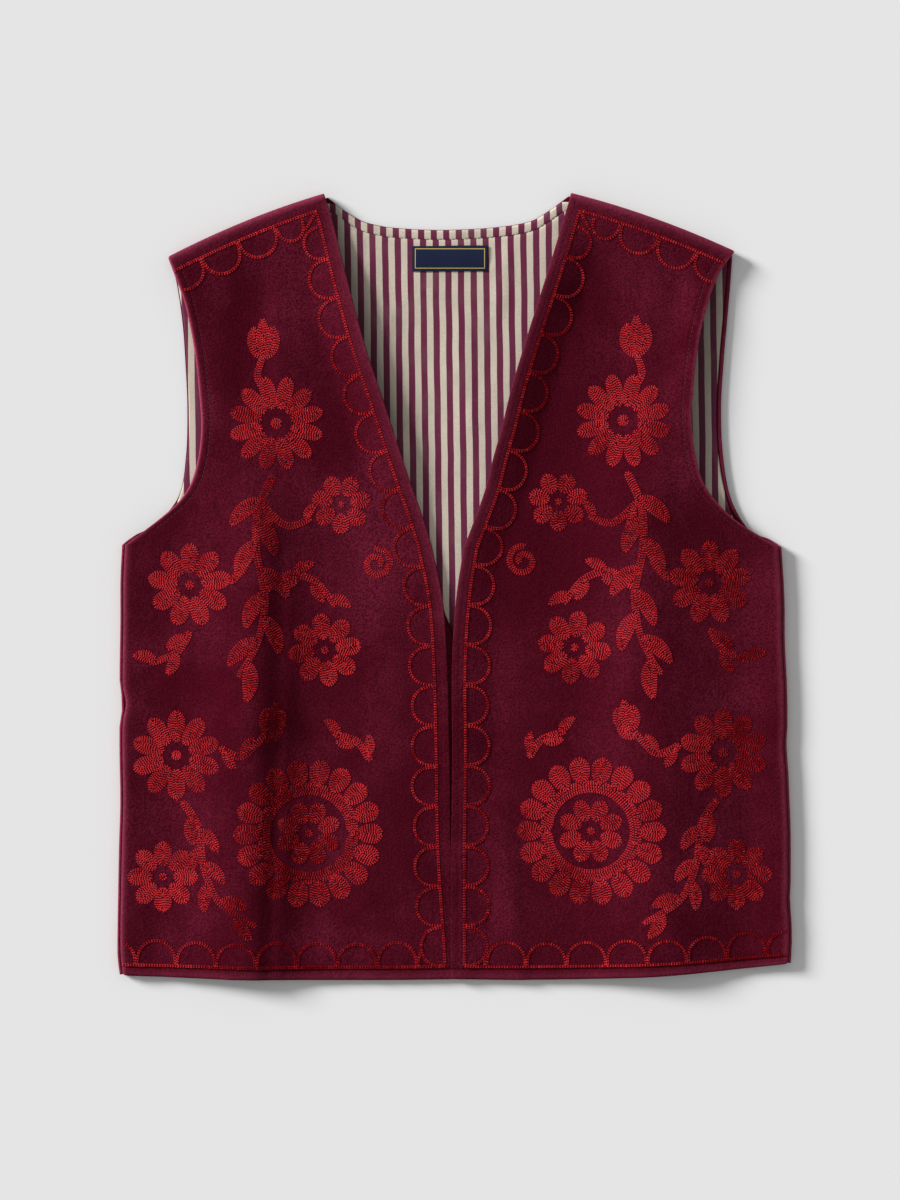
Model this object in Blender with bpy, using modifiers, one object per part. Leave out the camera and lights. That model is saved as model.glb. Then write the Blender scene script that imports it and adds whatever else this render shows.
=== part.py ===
# Embroidered velvet waistcoat, collarless and sleeveless, lying flat on its back.
# Every size below is in millimetres; the mesh itself is made in metres.
# +X runs to the viewer's right, +Y towards the neck, +Z up from the surface it lies on.
# "right" and "left" in the piece names are the wearer's, so the right front lies at -X.

import math
from collections import namedtuple

import bmesh
import bpy
from mathutils import Vector

MM = 0.001

# Cloth walls and the clearance kept between neighbouring pieces.
VELVET_WALL = 2.0
LINING_WALL = 1.0
LABEL_WALL = 1.0
PIECE_GAP = 0.3

# Where the cloth rolls over: at the side seams and at the shoulder seams.
SIDE_ROLL_RADIUS = 4.2
SHOULDER_ROLL_RADIUS = 5.0
SIDE_SEAM_FROM_TOP = math.radians(24.0)
RIM_STEP = 0.7

# The shoulder seam is straight over this depth, and the first station below it marks its end.
YOKE_DEPTH = 20.0
SHOULDER_FADE = 55.0

# Lowest top face a front can have: back wall, lining and front wall with their clearances.
CONTACT_HEIGHT = VELVET_WALL + LINING_WALL + VELVET_WALL + 2 * PIECE_GAP
FRONT_LOFT = 2.2
OUTER_FADE = 30.0
INNER_FADE = 34.0

# The lining stops short of the back's upper outline, and this many rows above its hem.
LINING_NECK_INSET = 0.8
LINING_SHOULDER_INSET = 3.0
LINING_HEM_ROWS = 1
LINING_STRIP_START = -12.0

LABEL_LENGTH = 56.0
LABEL_HEIGHT = 19.0
LABEL_CENTRE = (-3.5, 244.5)

VELVET_COLOUR = (0.085, 0.008, 0.022, 1.0)
LINING_COLOUR = (0.30, 0.13, 0.16, 1.0)
LABEL_COLOUR = (0.008, 0.014, 0.05, 1.0)

# One row for each section across a front, from the shoulder seam down to the hem.
# outer is the armhole or side edge, inner the neck or front edge, z the height of the top
# face there, sag how far the middle of the section dips, steps the rows to the next section.
Section = namedtuple("Section", "place outer_x outer_y outer_z inner_x inner_y inner_z sag steps")

RIGHT_FRONT_SECTIONS = (
    Section("shoulder", -211.0, 244.5, 10.0, -95.5, 290.0, 10.0, 0.0, 2),
    Section("yoke", -203.8, 226.0, 8.6, -89.5, 271.0, 10.6, 0.0, 1),
    Section("neck side", -198.0, 209.0, 7.6, -77.5, 228.0, 10.2, 0.0, 2),
    Section("high chest", -191.0, 176.5, 7.0, -65.0, 180.0, 9.4, 0.0, 2),
    Section("armhole", -186.5, 139.5, 7.0, -52.0, 139.5, 8.6, 0.0, 1),
    Section("armhole low", -185.5, 118.0, 7.0, -45.5, 118.0, 8.2, 0.0, 1),
    Section("scoop", -188.5, 95.0, 7.2, -38.0, 95.0, 7.8, 0.0, 1),
    Section("scoop turn", -196.5, 74.0, 7.5, -31.0, 73.0, 7.4, 0.0, 1),
    Section("scoop out", -213.0, 56.0, 8.0, -24.5, 55.0, 7.2, 0.0, 1),
    Section("underarm", -246.5, 32.0, 8.4, -17.0, 31.0, 7.0, 0.0, 2),
    Section("waist", -247.5, -9.0, 8.4, -9.5, -9.0, 6.8, 0.0, 2),
    Section("belly", -248.5, -58.0, 8.4, -6.5, -58.0, 6.8, 0.0, 2),
    Section("hip", -248.8, -126.5, 8.4, -4.0, -126.5, 6.4, 0.0, 2),
    Section("low hip", -249.2, -195.0, 8.4, -2.5, -195.0, 5.6, 0.0, 2),
    Section("above hem", -250.2, -262.0, 8.6, 1.8, -262.0, 5.6, 0.8, 2),
    Section("hem", -248.5, -287.5, 8.0, 3.5, -290.3, 5.6, 1.8, 0),
)
LEFT_FRONT_SECTIONS = (
    Section("shoulder", 206.5, 249.0, 10.0, 86.0, 291.0, 10.0, 0.0, 2),
    Section("yoke", 194.0, 232.5, 9.0, 80.5, 272.0, 11.4, 0.0, 1),
    Section("neck side", 187.0, 213.5, 8.6, 68.5, 233.0, 12.0, 0.0, 2),
    Section("high chest", 179.5, 184.0, 8.4, 53.5, 186.0, 11.6, 0.0, 2),
    Section("armhole", 175.5, 146.0, 8.2, 41.5, 146.0, 11.0, 0.0, 1),
    Section("armhole low", 175.0, 122.0, 8.2, 35.5, 121.0, 10.2, 0.0, 1),
    Section("scoop", 178.5, 97.0, 8.2, 28.5, 96.0, 9.2, 0.0, 1),
    Section("scoop turn", 186.5, 74.0, 8.2, 23.0, 74.0, 8.2, 0.0, 1),
    Section("scoop out", 208.0, 50.5, 8.4, 14.5, 50.0, 7.6, 0.0, 1),
    Section("underarm", 242.5, 30.5, 8.4, 6.5, 29.0, 7.2, 0.0, 2),
    Section("waist", 245.0, -9.0, 8.4, 1.0, -9.0, 7.0, 0.0, 2),
    Section("belly", 246.5, -58.0, 8.4, -2.0, -58.0, 7.2, 0.0, 2),
    Section("hip", 247.6, -126.5, 8.4, -1.8, -126.5, 7.8, 0.0, 2),
    Section("low hip", 249.0, -195.0, 8.4, -2.5, -195.0, 8.2, 0.0, 2),
    Section("above hem", 250.2, -256.0, 8.6, -2.5, -262.0, 8.1, 2.0, 2),
    Section("hem", 249.6, -279.0, 8.0, -2.5, -290.0, 8.1, 4.6, 0),
)

# The largest soft folds of a front: a straight crest or trough from one end to the other.
# height is added to the top face, below zero for a trough; width is half the fold's spread.
Fold = namedtuple("Fold", "place high_x high_y low_x low_y width height")

RIGHT_FRONT_FOLDS = (
    Fold("body ridge", -141.0, 30.0, -147.0, -300.0, 34.0, 3.8),
    Fold("hip trough", -92.0, 0.0, -90.0, -310.0, 26.0, -1.8),
    Fold("chest trough", -150.0, 225.0, -146.0, 120.0, 20.0, -1.6),
    Fold("front ridge", -46.0, 10.0, -38.0, -210.0, 22.0, 1.6),
    Fold("chest ridge", -110.0, 170.0, -84.0, 60.0, 26.0, 1.4),
)
LEFT_FRONT_FOLDS = (
    Fold("chest ridge", 132.0, 170.0, 118.0, 30.0, 30.0, 1.2),
    Fold("body ridge", 66.0, -70.0, 108.0, -300.0, 46.0, 3.4),
    Fold("neck trough", 112.0, 230.0, 82.0, 110.0, 22.0, -1.4),
    Fold("side trough", 204.0, 20.0, 214.0, -300.0, 24.0, -1.6),
    Fold("waist ridge", 172.0, 20.0, 168.0, -120.0, 24.0, 1.4),
)

# One row for each section across the back: its two edges, how far each edge is rolled over
# the side (in degrees from flat), how much of the neck's outline it still follows, and how
# far inside its edges the lining stops.
BackSection = namedtuple(
    "BackSection", "place left_x left_y right_x right_y roll neck_share lining_inset steps")

BACK_FULL_ROLL = 132.0
BACK_SECTIONS = (
    BackSection("shoulder", -211.0, 244.5, 206.5, 249.0, 0.0, 1.0, 0.8, 2),
    BackSection("yoke", -206.0, 224.0, 205.0, 227.0, 0.0, 0.92, 0.8, 1),
    BackSection("neck base", -202.0, 196.0, 202.5, 198.0, 0.0, 0.55, 0.8, 1),
    BackSection("blade", -200.0, 168.0, 200.0, 169.0, 0.0, 0.2, 0.8, 1),
    BackSection("armhole", -198.5, 134.0, 198.0, 134.0, 0.0, 0.0, 0.8, 1),
    BackSection("scoop", -199.5, 98.0, 199.5, 98.0, 0.0, 0.0, 0.8, 1),
    BackSection("scoop turn", -205.0, 68.0, 205.5, 66.0, 0.0, 0.0, 0.8, 1),
    BackSection("scoop out", -222.0, 47.5, 219.0, 43.0, 0.0, 0.0, 5.0, 1),
    BackSection("under scoop", -237.0, 39.5, 233.5, 36.5, 35.0, 0.0, 9.4, 3),
    BackSection("underarm", -246.5, 32.0, 242.5, 30.5, BACK_FULL_ROLL, 0.0, 9.9, 2),
    BackSection("waist", -247.5, -9.0, 245.0, -9.0, BACK_FULL_ROLL, 0.0, 9.9, 1),
    BackSection("belly", -248.5, -58.0, 246.5, -58.0, BACK_FULL_ROLL, 0.0, 9.9, 1),
    BackSection("hip", -248.8, -126.5, 247.6, -126.5, BACK_FULL_ROLL, 0.0, 9.9, 1),
    BackSection("low hip", -249.2, -195.0, 249.0, -195.0, BACK_FULL_ROLL, 0.0, 9.9, 1),
    BackSection("above hem", -250.2, -262.0, 250.2, -256.0, BACK_FULL_ROLL, 0.0, 9.9, 1),
    BackSection("lining hem", -249.8, -276.0, 250.0, -268.0, BACK_FULL_ROLL, 0.0, 9.9, 1),
    BackSection("hem", -248.5, -286.5, 249.6, -278.0, BACK_FULL_ROLL, 0.0, 9.9, 0),
)
BACK_HEM_SAG = 3.5

# Outline of the back of the neck between the two neck points.
NeckPoint = namedtuple("NeckPoint", "x y")
NECK_OUTLINE = (
    NeckPoint(-95.5, 290.0),
    NeckPoint(-84.0, 281.0),
    NeckPoint(-69.5, 272.5),
    NeckPoint(-50.0, 268.0),
    NeckPoint(-15.0, 266.0),
    NeckPoint(20.0, 267.0),
    NeckPoint(44.0, 269.5),
    NeckPoint(60.0, 273.5),
    NeckPoint(74.5, 282.5),
    NeckPoint(86.0, 291.0),
)

SIDE_ROLL_STEPS = 6
SHOULDER_ROLL_STEPS = 4
MOST_SHELL_FACTOR = 1.15
SHOULDER_COLUMNS = 4
FRONT_MIDDLE_COLUMNS = 12
NAME = "embroidered_waistcoat"


def smooth_step(value):
    value = min(max(value, 0.0), 1.0)
    return value * value * (3.0 - 2.0 * value)


def mix(start, end, share):
    return start + (end - start) * share


def curve_value(values, place):
    """Smooth curve through evenly numbered values, read at a fractional number."""
    last = len(values) - 1
    index = min(int(place), last - 1)
    share = place - index
    start = values[index]
    end = values[index + 1]
    before = values[index - 1] if index > 0 else 2 * start - end
    after = values[index + 2] if index + 2 <= last else 2 * end - start
    leaving = (end - before) / 2.0
    arriving = (after - start) / 2.0
    square = share * share
    cube = square * share
    return ((2 * cube - 3 * square + 1) * start + (cube - 2 * square + share) * leaving
            + (3 * square - 2 * cube) * end + (cube - square) * arriving)


def column_value(sections, column, place, corner):
    """A named column of a section table at a fractional section number.

    The curve is broken at the corner section, where two edges of the piece meet."""
    values = [getattr(section, column) for section in sections]
    if place <= corner:
        return curve_value(values[:corner + 1], place)
    return curve_value(values[corner:], place - corner)


def section_number(sections, place_name):
    return [section.place for section in sections].index(place_name)


def distance_to_segment(x, y, start, end):
    along = Vector(end) - Vector(start)
    from_start = Vector((x, y)) - Vector(start)
    share = from_start.dot(along) / along.length_squared
    share = min(max(share, 0.0), 1.0)
    return (from_start - along * share).length


def section_rows(sections):
    """Fractional section numbers of the rows from one section to the next."""
    rows = []
    for number, section in enumerate(sections):
        steps = max(section.steps, 1)
        rows += [number + step / steps for step in range(steps)]
    return rows


# ---- the two fronts -------------------------------------------------------------------

def shoulder_roll():
    """Depth in plan and height of the rows that turn a front down to its shoulder seam."""
    radius = SHOULDER_ROLL_RADIUS
    rows = [(0.0, VELVET_WALL + PIECE_GAP)]
    for step in range(SHOULDER_ROLL_STEPS + 1):
        angle = math.pi / 2 * step / SHOULDER_ROLL_STEPS
        rows.append((radius * (1 - math.cos(angle)), radius * (1 + math.sin(angle))))
    return rows


def front_rows(sections):
    """Fractional section number of each row, and its height where it is in the roll."""
    rows = [(depth / YOKE_DEPTH, height) for depth, height in shoulder_roll()]
    rows += [(place, None) for place in section_rows(sections) if place > rows[-1][0]]
    return rows


def front_column_places(width):
    """Distances across a front from its outer edge to its inner edge."""
    outer = [0.0, 0.9, 2.2, 8.0, 18.0]
    inner = [width - 16.0, width - 6.0, width]
    middle = [mix(outer[-1], inner[0], (step + 1) / FRONT_MIDDLE_COLUMNS)
              for step in range(FRONT_MIDDLE_COLUMNS - 1)]
    return outer + middle + inner


def fold_height(folds, x, y):
    total = 0.0
    for fold in folds:
        away = distance_to_segment(x, y, (fold.high_x, fold.high_y), (fold.low_x, fold.low_y))
        total += fold.height * math.exp(-(away / fold.width) ** 2)
    return total


def front_height(sections, folds, x, y, edges, from_outer, from_inner):
    """Height of a front's top face at a point of its plan, below the shoulder roll."""
    outer_z, inner_z = edges
    shoulder = sections[0]
    depth = distance_to_segment(x, y, (shoulder.outer_x, shoulder.outer_y),
                                (shoulder.inner_x, shoulder.inner_y))
    radius = SHOULDER_ROLL_RADIUS
    middle = CONTACT_HEIGHT + FRONT_LOFT + fold_height(folds, x, y)
    middle = max(middle, CONTACT_HEIGHT)
    height = mix(inner_z, middle, smooth_step(from_inner / INNER_FADE))
    height = mix(outer_z, height, smooth_step(from_outer / OUTER_FADE))
    height = mix(2 * radius, height, smooth_step((depth - radius) / SHOULDER_FADE))
    return max(height, CONTACT_HEIGHT)


def front_points(sections, folds):
    """Top face of a front as rows of points, from the shoulder seam to the hem."""
    corner = section_number(sections, "underarm")
    inset = SIDE_ROLL_RADIUS * (1 - math.sin(SIDE_SEAM_FROM_TOP))
    seam_drop = SIDE_ROLL_RADIUS * (1 - math.cos(SIDE_SEAM_FROM_TOP))
    rows = []
    for place, roll_height in front_rows(sections):
        outer_x = column_value(sections, "outer_x", place, corner)
        outer_y = column_value(sections, "outer_y", place, corner)
        outer_z = column_value(sections, "outer_z", place, corner)
        inner_x = column_value(sections, "inner_x", place, corner)
        inner_y = column_value(sections, "inner_y", place, corner)
        inner_z = column_value(sections, "inner_z", place, corner)
        sag = column_value(sections, "sag", place, corner)
        rolled = smooth_step(place - (corner - 1))
        side = 1.0 if inner_x > outer_x else -1.0
        outer_x += side * inset * rolled
        width = math.hypot(inner_x - outer_x, inner_y - outer_y)
        row = []
        for from_outer in front_column_places(width):
            share = from_outer / width
            x = mix(outer_x, inner_x, share)
            y = mix(outer_y, inner_y, share) - 4 * sag * share * (1 - share)
            z = front_height(sections, folds, x, y, (outer_z, inner_z),
                             from_outer, width - from_outer)
            over_edge = max(1 - from_outer / (SIDE_ROLL_RADIUS - inset), 0.0)
            z -= seam_drop * rolled * over_edge ** 2
            row.append(Vector((x, y, z if roll_height is None else roll_height)))
        rows.append(row)
    return rows


# ---- the back and its lining ----------------------------------------------------------

def neck_height(x):
    """Height in the plan of the back's upper outline: shoulder, neck, shoulder."""
    top = BACK_SECTIONS[0]
    first = NECK_OUTLINE[0]
    last = NECK_OUTLINE[-1]
    if x <= first.x:
        return mix(top.left_y, first.y, (x - top.left_x) / (first.x - top.left_x))
    if x >= last.x:
        return mix(last.y, top.right_y, (x - last.x) / (top.right_x - last.x))
    for number in range(len(NECK_OUTLINE) - 1):
        start = NECK_OUTLINE[number]
        end = NECK_OUTLINE[number + 1]
        if x <= end.x:
            share = (x - start.x) / (end.x - start.x)
            return curve_value([point.y for point in NECK_OUTLINE], number + share)
    return last.y


def upper_inset(x):
    """How far the lining stops below the back's upper outline."""
    margin = 1.0
    if NECK_OUTLINE[0].x + margin < x < NECK_OUTLINE[-1].x - margin:
        return LINING_NECK_INSET
    return LINING_SHOULDER_INSET


def strip_reach(roll_degrees):
    """How far the outer face of a side strip reaches beyond its root."""
    return max(reach for reach, height in rolled_strip(roll_degrees))


def back_column_shares():
    """Shares of the back's width between its two rolled strips."""
    top = BACK_SECTIONS[0]
    strip = math.radians(BACK_FULL_ROLL) * SIDE_ROLL_RADIUS
    start = top.left_x + strip
    width = (top.right_x - strip) - start
    necks = [(point.x - start) / width for point in NECK_OUTLINE]
    left = [mix(0.0, necks[0], step / SHOULDER_COLUMNS) for step in range(SHOULDER_COLUMNS)]
    right = [mix(necks[-1], 1.0, (step + 1) / SHOULDER_COLUMNS)
             for step in range(SHOULDER_COLUMNS)]
    return left + necks + right


def rolled_strip(roll_degrees, start=0.0, inset=0.0):
    """Section of a side strip: reach outwards and height, from its start to its edge.

    Lengths are counted from the strip's root; inset is how far it stops short of the
    back's own edge."""
    strip = math.radians(BACK_FULL_ROLL) * SIDE_ROLL_RADIUS
    flat = strip - math.radians(roll_degrees) * SIDE_ROLL_RADIUS
    end = strip - inset
    lengths = [mix(start, end, step / SIDE_ROLL_STEPS) for step in range(1, SIDE_ROLL_STEPS + 1)]
    if inset == 0:
        lengths.insert(-1, end - RIM_STEP)
    section = []
    for length in lengths:
        angle = max(length - flat, 0.0) / SIDE_ROLL_RADIUS
        reach = min(length, flat) + SIDE_ROLL_RADIUS * math.sin(angle)
        section.append((reach, SIDE_ROLL_RADIUS * (1 - math.cos(angle))))
    return section


def back_points(is_lining=False):
    """Rows of points over the back's outer face, from the neck to the hem.

    For the lining they end inside the back's edges."""
    corner = section_number(BACK_SECTIONS, "underarm")
    top = BACK_SECTIONS[0]
    shares = back_column_shares()
    last_place = len(BACK_SECTIONS) - 1
    rows = []
    for place in section_rows(BACK_SECTIONS):
        value = {column: column_value(BACK_SECTIONS, column, place, corner)
                 for column in BackSection._fields[1:]}
        roll = max(value["roll"], 0.0)
        start = LINING_STRIP_START if is_lining else 0.0
        strip = rolled_strip(roll, start, value["lining_inset"] if is_lining else 0.0)
        left_root = value["left_x"] + strip_reach(roll)
        right_root = value["right_x"] - strip_reach(roll)
        spots = [(left_root - reach, height) for reach, height in reversed(strip)]
        spots += [(mix(left_root - start, right_root + start, share), 0.0) for share in shares]
        spots += [(right_root + reach, height) for reach, height in strip]
        sag = BACK_HEM_SAG * smooth_step(place - (last_place - 2))
        row = []
        for x, height in spots:
            share = (x - value["left_x"]) / (value["right_x"] - value["left_x"])
            y = mix(value["left_y"], value["right_y"], share)
            top_x = mix(top.left_x, top.right_x, share)
            bump = neck_height(top_x) - mix(top.left_y, top.right_y, share)
            y += bump * value["neck_share"] - 4 * sag * share * (1 - share)
            if is_lining:
                y -= upper_inset(top_x) * max(1 - place, 0.0)
            row.append(Vector((x, y, height)))
        rows.append(row)
    return rows


# ---- making the meshes ----------------------------------------------------------------

def make_material(name, colour, roughness):
    material = bpy.data.materials.new(name)
    material.use_nodes = True
    shader = material.node_tree.nodes["Principled BSDF"]
    shader.inputs["Base Color"].default_value = colour
    shader.inputs["Roughness"].default_value = roughness
    shader.inputs["Metallic"].default_value = 0.0
    return material


def sheet_mesh(points, faces_up):
    """Open sheet through rows of points, with its faces turned up or down."""
    columns = len(points[0]) - 1
    rows = len(points) - 1
    sheet = bmesh.new()
    bmesh.ops.create_grid(sheet, x_segments=columns, y_segments=rows, size=1.0)
    for vert in sheet.verts:
        column = round((vert.co.x + 1) / 2 * columns)
        row = round((1 - vert.co.y) / 2 * rows)
        vert.co = points[row][column] * MM
    sheet.normal_update()
    turned = sum(face.normal.z * face.calc_area() for face in sheet.faces)
    if (turned > 0) != faces_up:
        bmesh.ops.reverse_faces(sheet, faces=sheet.faces)
    return sheet


def move_inwards(sheet, distance):
    """Move a sheet against its faces' outward side, evenly where it bends."""
    sheet.normal_update()
    moves = [vert.normal * (-distance * min(vert.calc_shell_factor(), MOST_SHELL_FACTOR))
             for vert in sheet.verts]
    for vert, move in zip(sheet.verts, moves):
        vert.co += move


def cloth_piece(name, sheet, wall, material, collection):
    """Named object of one wall of cloth, its thickness growing inwards from the sheet."""
    mesh = bpy.data.meshes.new(name)
    sheet.to_mesh(mesh)
    sheet.free()
    mesh.shade_smooth()
    mesh.set_sharp_from_angle(angle=math.radians(50))
    mesh.materials.append(material)
    piece = bpy.data.objects.new(name, mesh)
    collection.objects.link(piece)
    solidify = piece.modifiers.new("wall", "SOLIDIFY")
    solidify.thickness = wall * MM
    solidify.offset = -1.0
    solidify.use_even_offset = True
    return piece


def make_back(velvet, collection):
    sheet = sheet_mesh(back_points(), faces_up=False)
    return cloth_piece("back_panel", sheet, VELVET_WALL, velvet, collection)


def make_lining(material, collection):
    points = back_points(is_lining=True)
    sheet = sheet_mesh(points[:-LINING_HEM_ROWS], faces_up=False)
    move_inwards(sheet, (VELVET_WALL + PIECE_GAP) * MM)
    lining = cloth_piece("back_lining", sheet, LINING_WALL, material, collection)
    lining.modifiers["wall"].use_even_offset = False
    return lining


def make_label(material, collection):
    """Plain woven tape sewn inside the neck, lying on the lining."""
    low = VELVET_WALL + LINING_WALL + 2 * PIECE_GAP
    bpy.ops.mesh.primitive_cube_add(size=1.0)
    label = bpy.context.active_object
    label.name = "neck_label"
    label.data.name = "neck_label"
    size = Vector((LABEL_LENGTH, LABEL_HEIGHT, LABEL_WALL)) * MM
    centre = Vector((LABEL_CENTRE[0], LABEL_CENTRE[1], low + LABEL_WALL / 2)) * MM
    for vert in label.data.vertices:
        vert.co = Vector(part * scale for part, scale in zip(vert.co, size))
    label.location = centre
    label.data.materials.append(material)
    for holder in list(label.users_collection):
        holder.objects.unlink(label)
    collection.objects.link(label)
    return label


def clear_scene():
    for thing in list(bpy.data.objects):
        bpy.data.objects.remove(thing, do_unlink=True)


def main():
    clear_scene()
    collection = bpy.data.collections.new(NAME)
    bpy.context.scene.collection.children.link(collection)
    velvet = make_material("velvet", VELVET_COLOUR, 0.8)
    lining = make_material("striped_lining", LINING_COLOUR, 0.7)
    label = make_material("label_tape", LABEL_COLOUR, 0.6)
    make_back(velvet, collection)
    make_lining(lining, collection)
    right = sheet_mesh(front_points(RIGHT_FRONT_SECTIONS, RIGHT_FRONT_FOLDS), faces_up=True)
    cloth_piece("right_front", right, VELVET_WALL, velvet, collection)
    left = sheet_mesh(front_points(LEFT_FRONT_SECTIONS, LEFT_FRONT_FOLDS), faces_up=True)
    cloth_piece("left_front", left, VELVET_WALL, velvet, collection)
    make_label(label, collection)


main()
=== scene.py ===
import math
from collections import namedtuple

import bmesh
import bpy
import numpy as np
from mathutils import Matrix, Vector
from mathutils.bvhtree import BVHTree


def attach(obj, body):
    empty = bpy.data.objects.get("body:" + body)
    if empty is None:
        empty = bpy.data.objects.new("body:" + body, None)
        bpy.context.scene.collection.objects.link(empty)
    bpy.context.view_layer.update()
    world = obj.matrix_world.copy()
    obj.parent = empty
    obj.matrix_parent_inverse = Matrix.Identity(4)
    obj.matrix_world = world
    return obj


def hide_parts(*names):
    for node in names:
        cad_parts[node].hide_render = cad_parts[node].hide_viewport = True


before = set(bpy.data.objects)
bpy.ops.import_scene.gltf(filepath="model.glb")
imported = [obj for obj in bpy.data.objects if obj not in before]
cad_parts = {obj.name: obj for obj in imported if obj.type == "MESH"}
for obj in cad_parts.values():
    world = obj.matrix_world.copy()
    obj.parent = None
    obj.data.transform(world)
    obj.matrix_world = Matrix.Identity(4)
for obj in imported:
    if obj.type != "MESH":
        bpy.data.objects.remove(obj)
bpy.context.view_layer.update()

mm = 0.001
chance = np.random.default_rng(11)

# All lengths below are in millimetres. The wearer's right front lies at -X.
cloth = {
    "velvetWall": 2.0,
    "liningWall": 0.8,
    "gap": 0.3,
    "sideRollRadius": 4.2,
    "sideSeamFromTop": 24.0,   # degrees, how far short of the top the side seam sits
    "shoulderRollRadius": 5.0,
    "yokeDepth": 20.0,
    "shoulderFade": 55.0,
    "edgeRound": 1.7,          # how softly a folded velvet edge turns down
    "shoulderBow": 3.2,
    "cornerRound": 3.0,
    "innerFade": 34.0,         # how far in a front's edges take their height from the table
    "outerFade": 30.0,
    "hemCalm": 46.0,           # how far above the hem its folds flatten
    "unevenness": 0.22,
}
contactHeight = 2 * cloth["velvetWall"] + 1.0 + 2 * cloth["gap"]

# One row for each section across a front, shoulder to hem: outer is the armhole or side edge,
# inner the neck or front edge, z the top face there, sag the dip in the middle of the section.
Section = namedtuple("Section", "place outerX outerY outerZ innerX innerY innerZ sag",
                     defaults=(0.0,))
rightSections = (
    Section("shoulder", -213, 246.5, 10, -97, 292.5, 10.4),
    Section("yoke", -205.5, 226.5, 8.6, -90.5, 272, 12),
    Section("neck side", -199.5, 209, 7.6, -79.5, 228, 14.8),
    Section("high chest", -193, 176.5, 7, -66.5, 180, 15.6),
    Section("armhole", -189, 139.5, 7, -53, 139.5, 15.2),
    Section("armhole low", -188, 118, 7, -46, 118, 14.6),
    Section("scoop", -190.5, 95, 7.2, -38.5, 95, 13.8),
    Section("scoop turn", -197.5, 74, 7.5, -31, 73, 11),
    Section("scoop out", -213, 56, 8, -24.5, 55, 8.8),
    Section("underarm", -246.5, 32, 8.4, -17, 31, 7.6),
    Section("waist", -247.5, -9, 8.4, -9, -9, 7.8),
    Section("belly", -248.5, -58, 8.4, -5.4, -58, 8.8),
    Section("hip", -248.8, -126.5, 8.4, -3.7, -126.5, 8.8),
    Section("low hip", -249.2, -195, 8.4, -2.5, -195, 6.4),
    Section("above hem", -250.2, -262, 8.6, 1.8, -262, 5.6, 0.8),
    Section("hem", -248.5, -287.5, 8, 3.5, -290.3, 5.6, 1.8),
)
leftSections = (
    Section("shoulder", 208.5, 250.5, 10, 86.5, 293, 10),
    Section("yoke", 196, 233, 11, 80.5, 272.5, 12),
    Section("neck side", 188.5, 213.5, 12.6, 68.5, 233, 13.8),
    Section("high chest", 181, 184, 13.6, 53.5, 186, 14.2),
    Section("armhole", 176.5, 146, 13.8, 41.5, 146, 14),
    Section("armhole low", 175.5, 122, 13.6, 35.5, 121, 13.6),
    Section("scoop", 178.5, 97, 12.8, 28.5, 96, 13.2),
    Section("scoop turn", 186.5, 74, 11.2, 23, 74, 12.4),
    Section("scoop out", 208, 50.5, 9.4, 14.5, 50, 11.6),
    Section("underarm", 242.5, 30.5, 8.4, 6.5, 29, 11),
    Section("waist", 245, -9, 8.4, 1, -9, 10.6),
    Section("belly", 246.5, -58, 8.4, -2, -58, 10.4),
    Section("hip", 247.6, -126.5, 8.4, -1.8, -126.5, 10.2),
    Section("low hip", 249, -195, 8.4, -2.5, -195, 9),
    Section("above hem", 250.2, -256, 8.6, -2.5, -262, 7.9, 2),
    Section("hem", 249.6, -279, 8, -2.5, -290, 7.9, 4.6),
)
underarm = 9
hem = 15
hemSpan = 28.0                 # length of the last section

# Soft folds: a crest or, below zero, a trough from one end to the other, lee times as wide on
# its right side as on its left.
Fold = namedtuple("Fold", "highX highY lowX lowY width height lee", defaults=(1.0,))
rightFolds = (
    Fold(-150, 40, -154, -310, 46, 5.4, 0.74),
    Fold(-146, 34, -149, -96, 22, 4, 0.85),
    Fold(-150, -104, -155, -306, 30, 4.6, 0.76),
    Fold(-100, -60, -104, -240, 18, -0.9),
    Fold(-150, 262, -150, 150, 16, -1.3, 0.7),
    Fold(-126, 262, -128, 170, 16, 1.2),
    Fold(-46, 10, -38, -210, 22, 1.4),
    Fold(-92, 150, -70, 50, 24, -1.6),
    Fold(-198, 12, -196, -250, 26, -1),
    # smaller creases
    Fold(-172, -70, -160, -96, 7, 0.6, 0.8),
    Fold(-120, -72, -104, -112, 8, -0.7, 0.9),
    Fold(-60, 70, -40, 30, 9, -0.8),
    Fold(-214, 44, -232, 8, 7, 0.6),
    Fold(-100, 262, -88, 214, 7, -0.6),
    Fold(-222, -62, -242, -88, 6, -1, 0.8),
    Fold(-128, 36, -133, -120, 4.6, -0.9),
    Fold(-132, -104, -139, -300, 4.2, -1.2),
    Fold(-121, 20, -126, -150, 5, 0.5),
    Fold(-124, -170, -131, -286, 4.6, 0.7),
    Fold(-141, 236, -137, 150, 5, -0.7),
    Fold(-60, -150, -64, -240, 10, 0.6),
    Fold(-206, -262, -200, -292, 8, 0.7, 0.8),
    Fold(-70, -250, -76, -294, 9, -0.6, 0.8),
)
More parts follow.
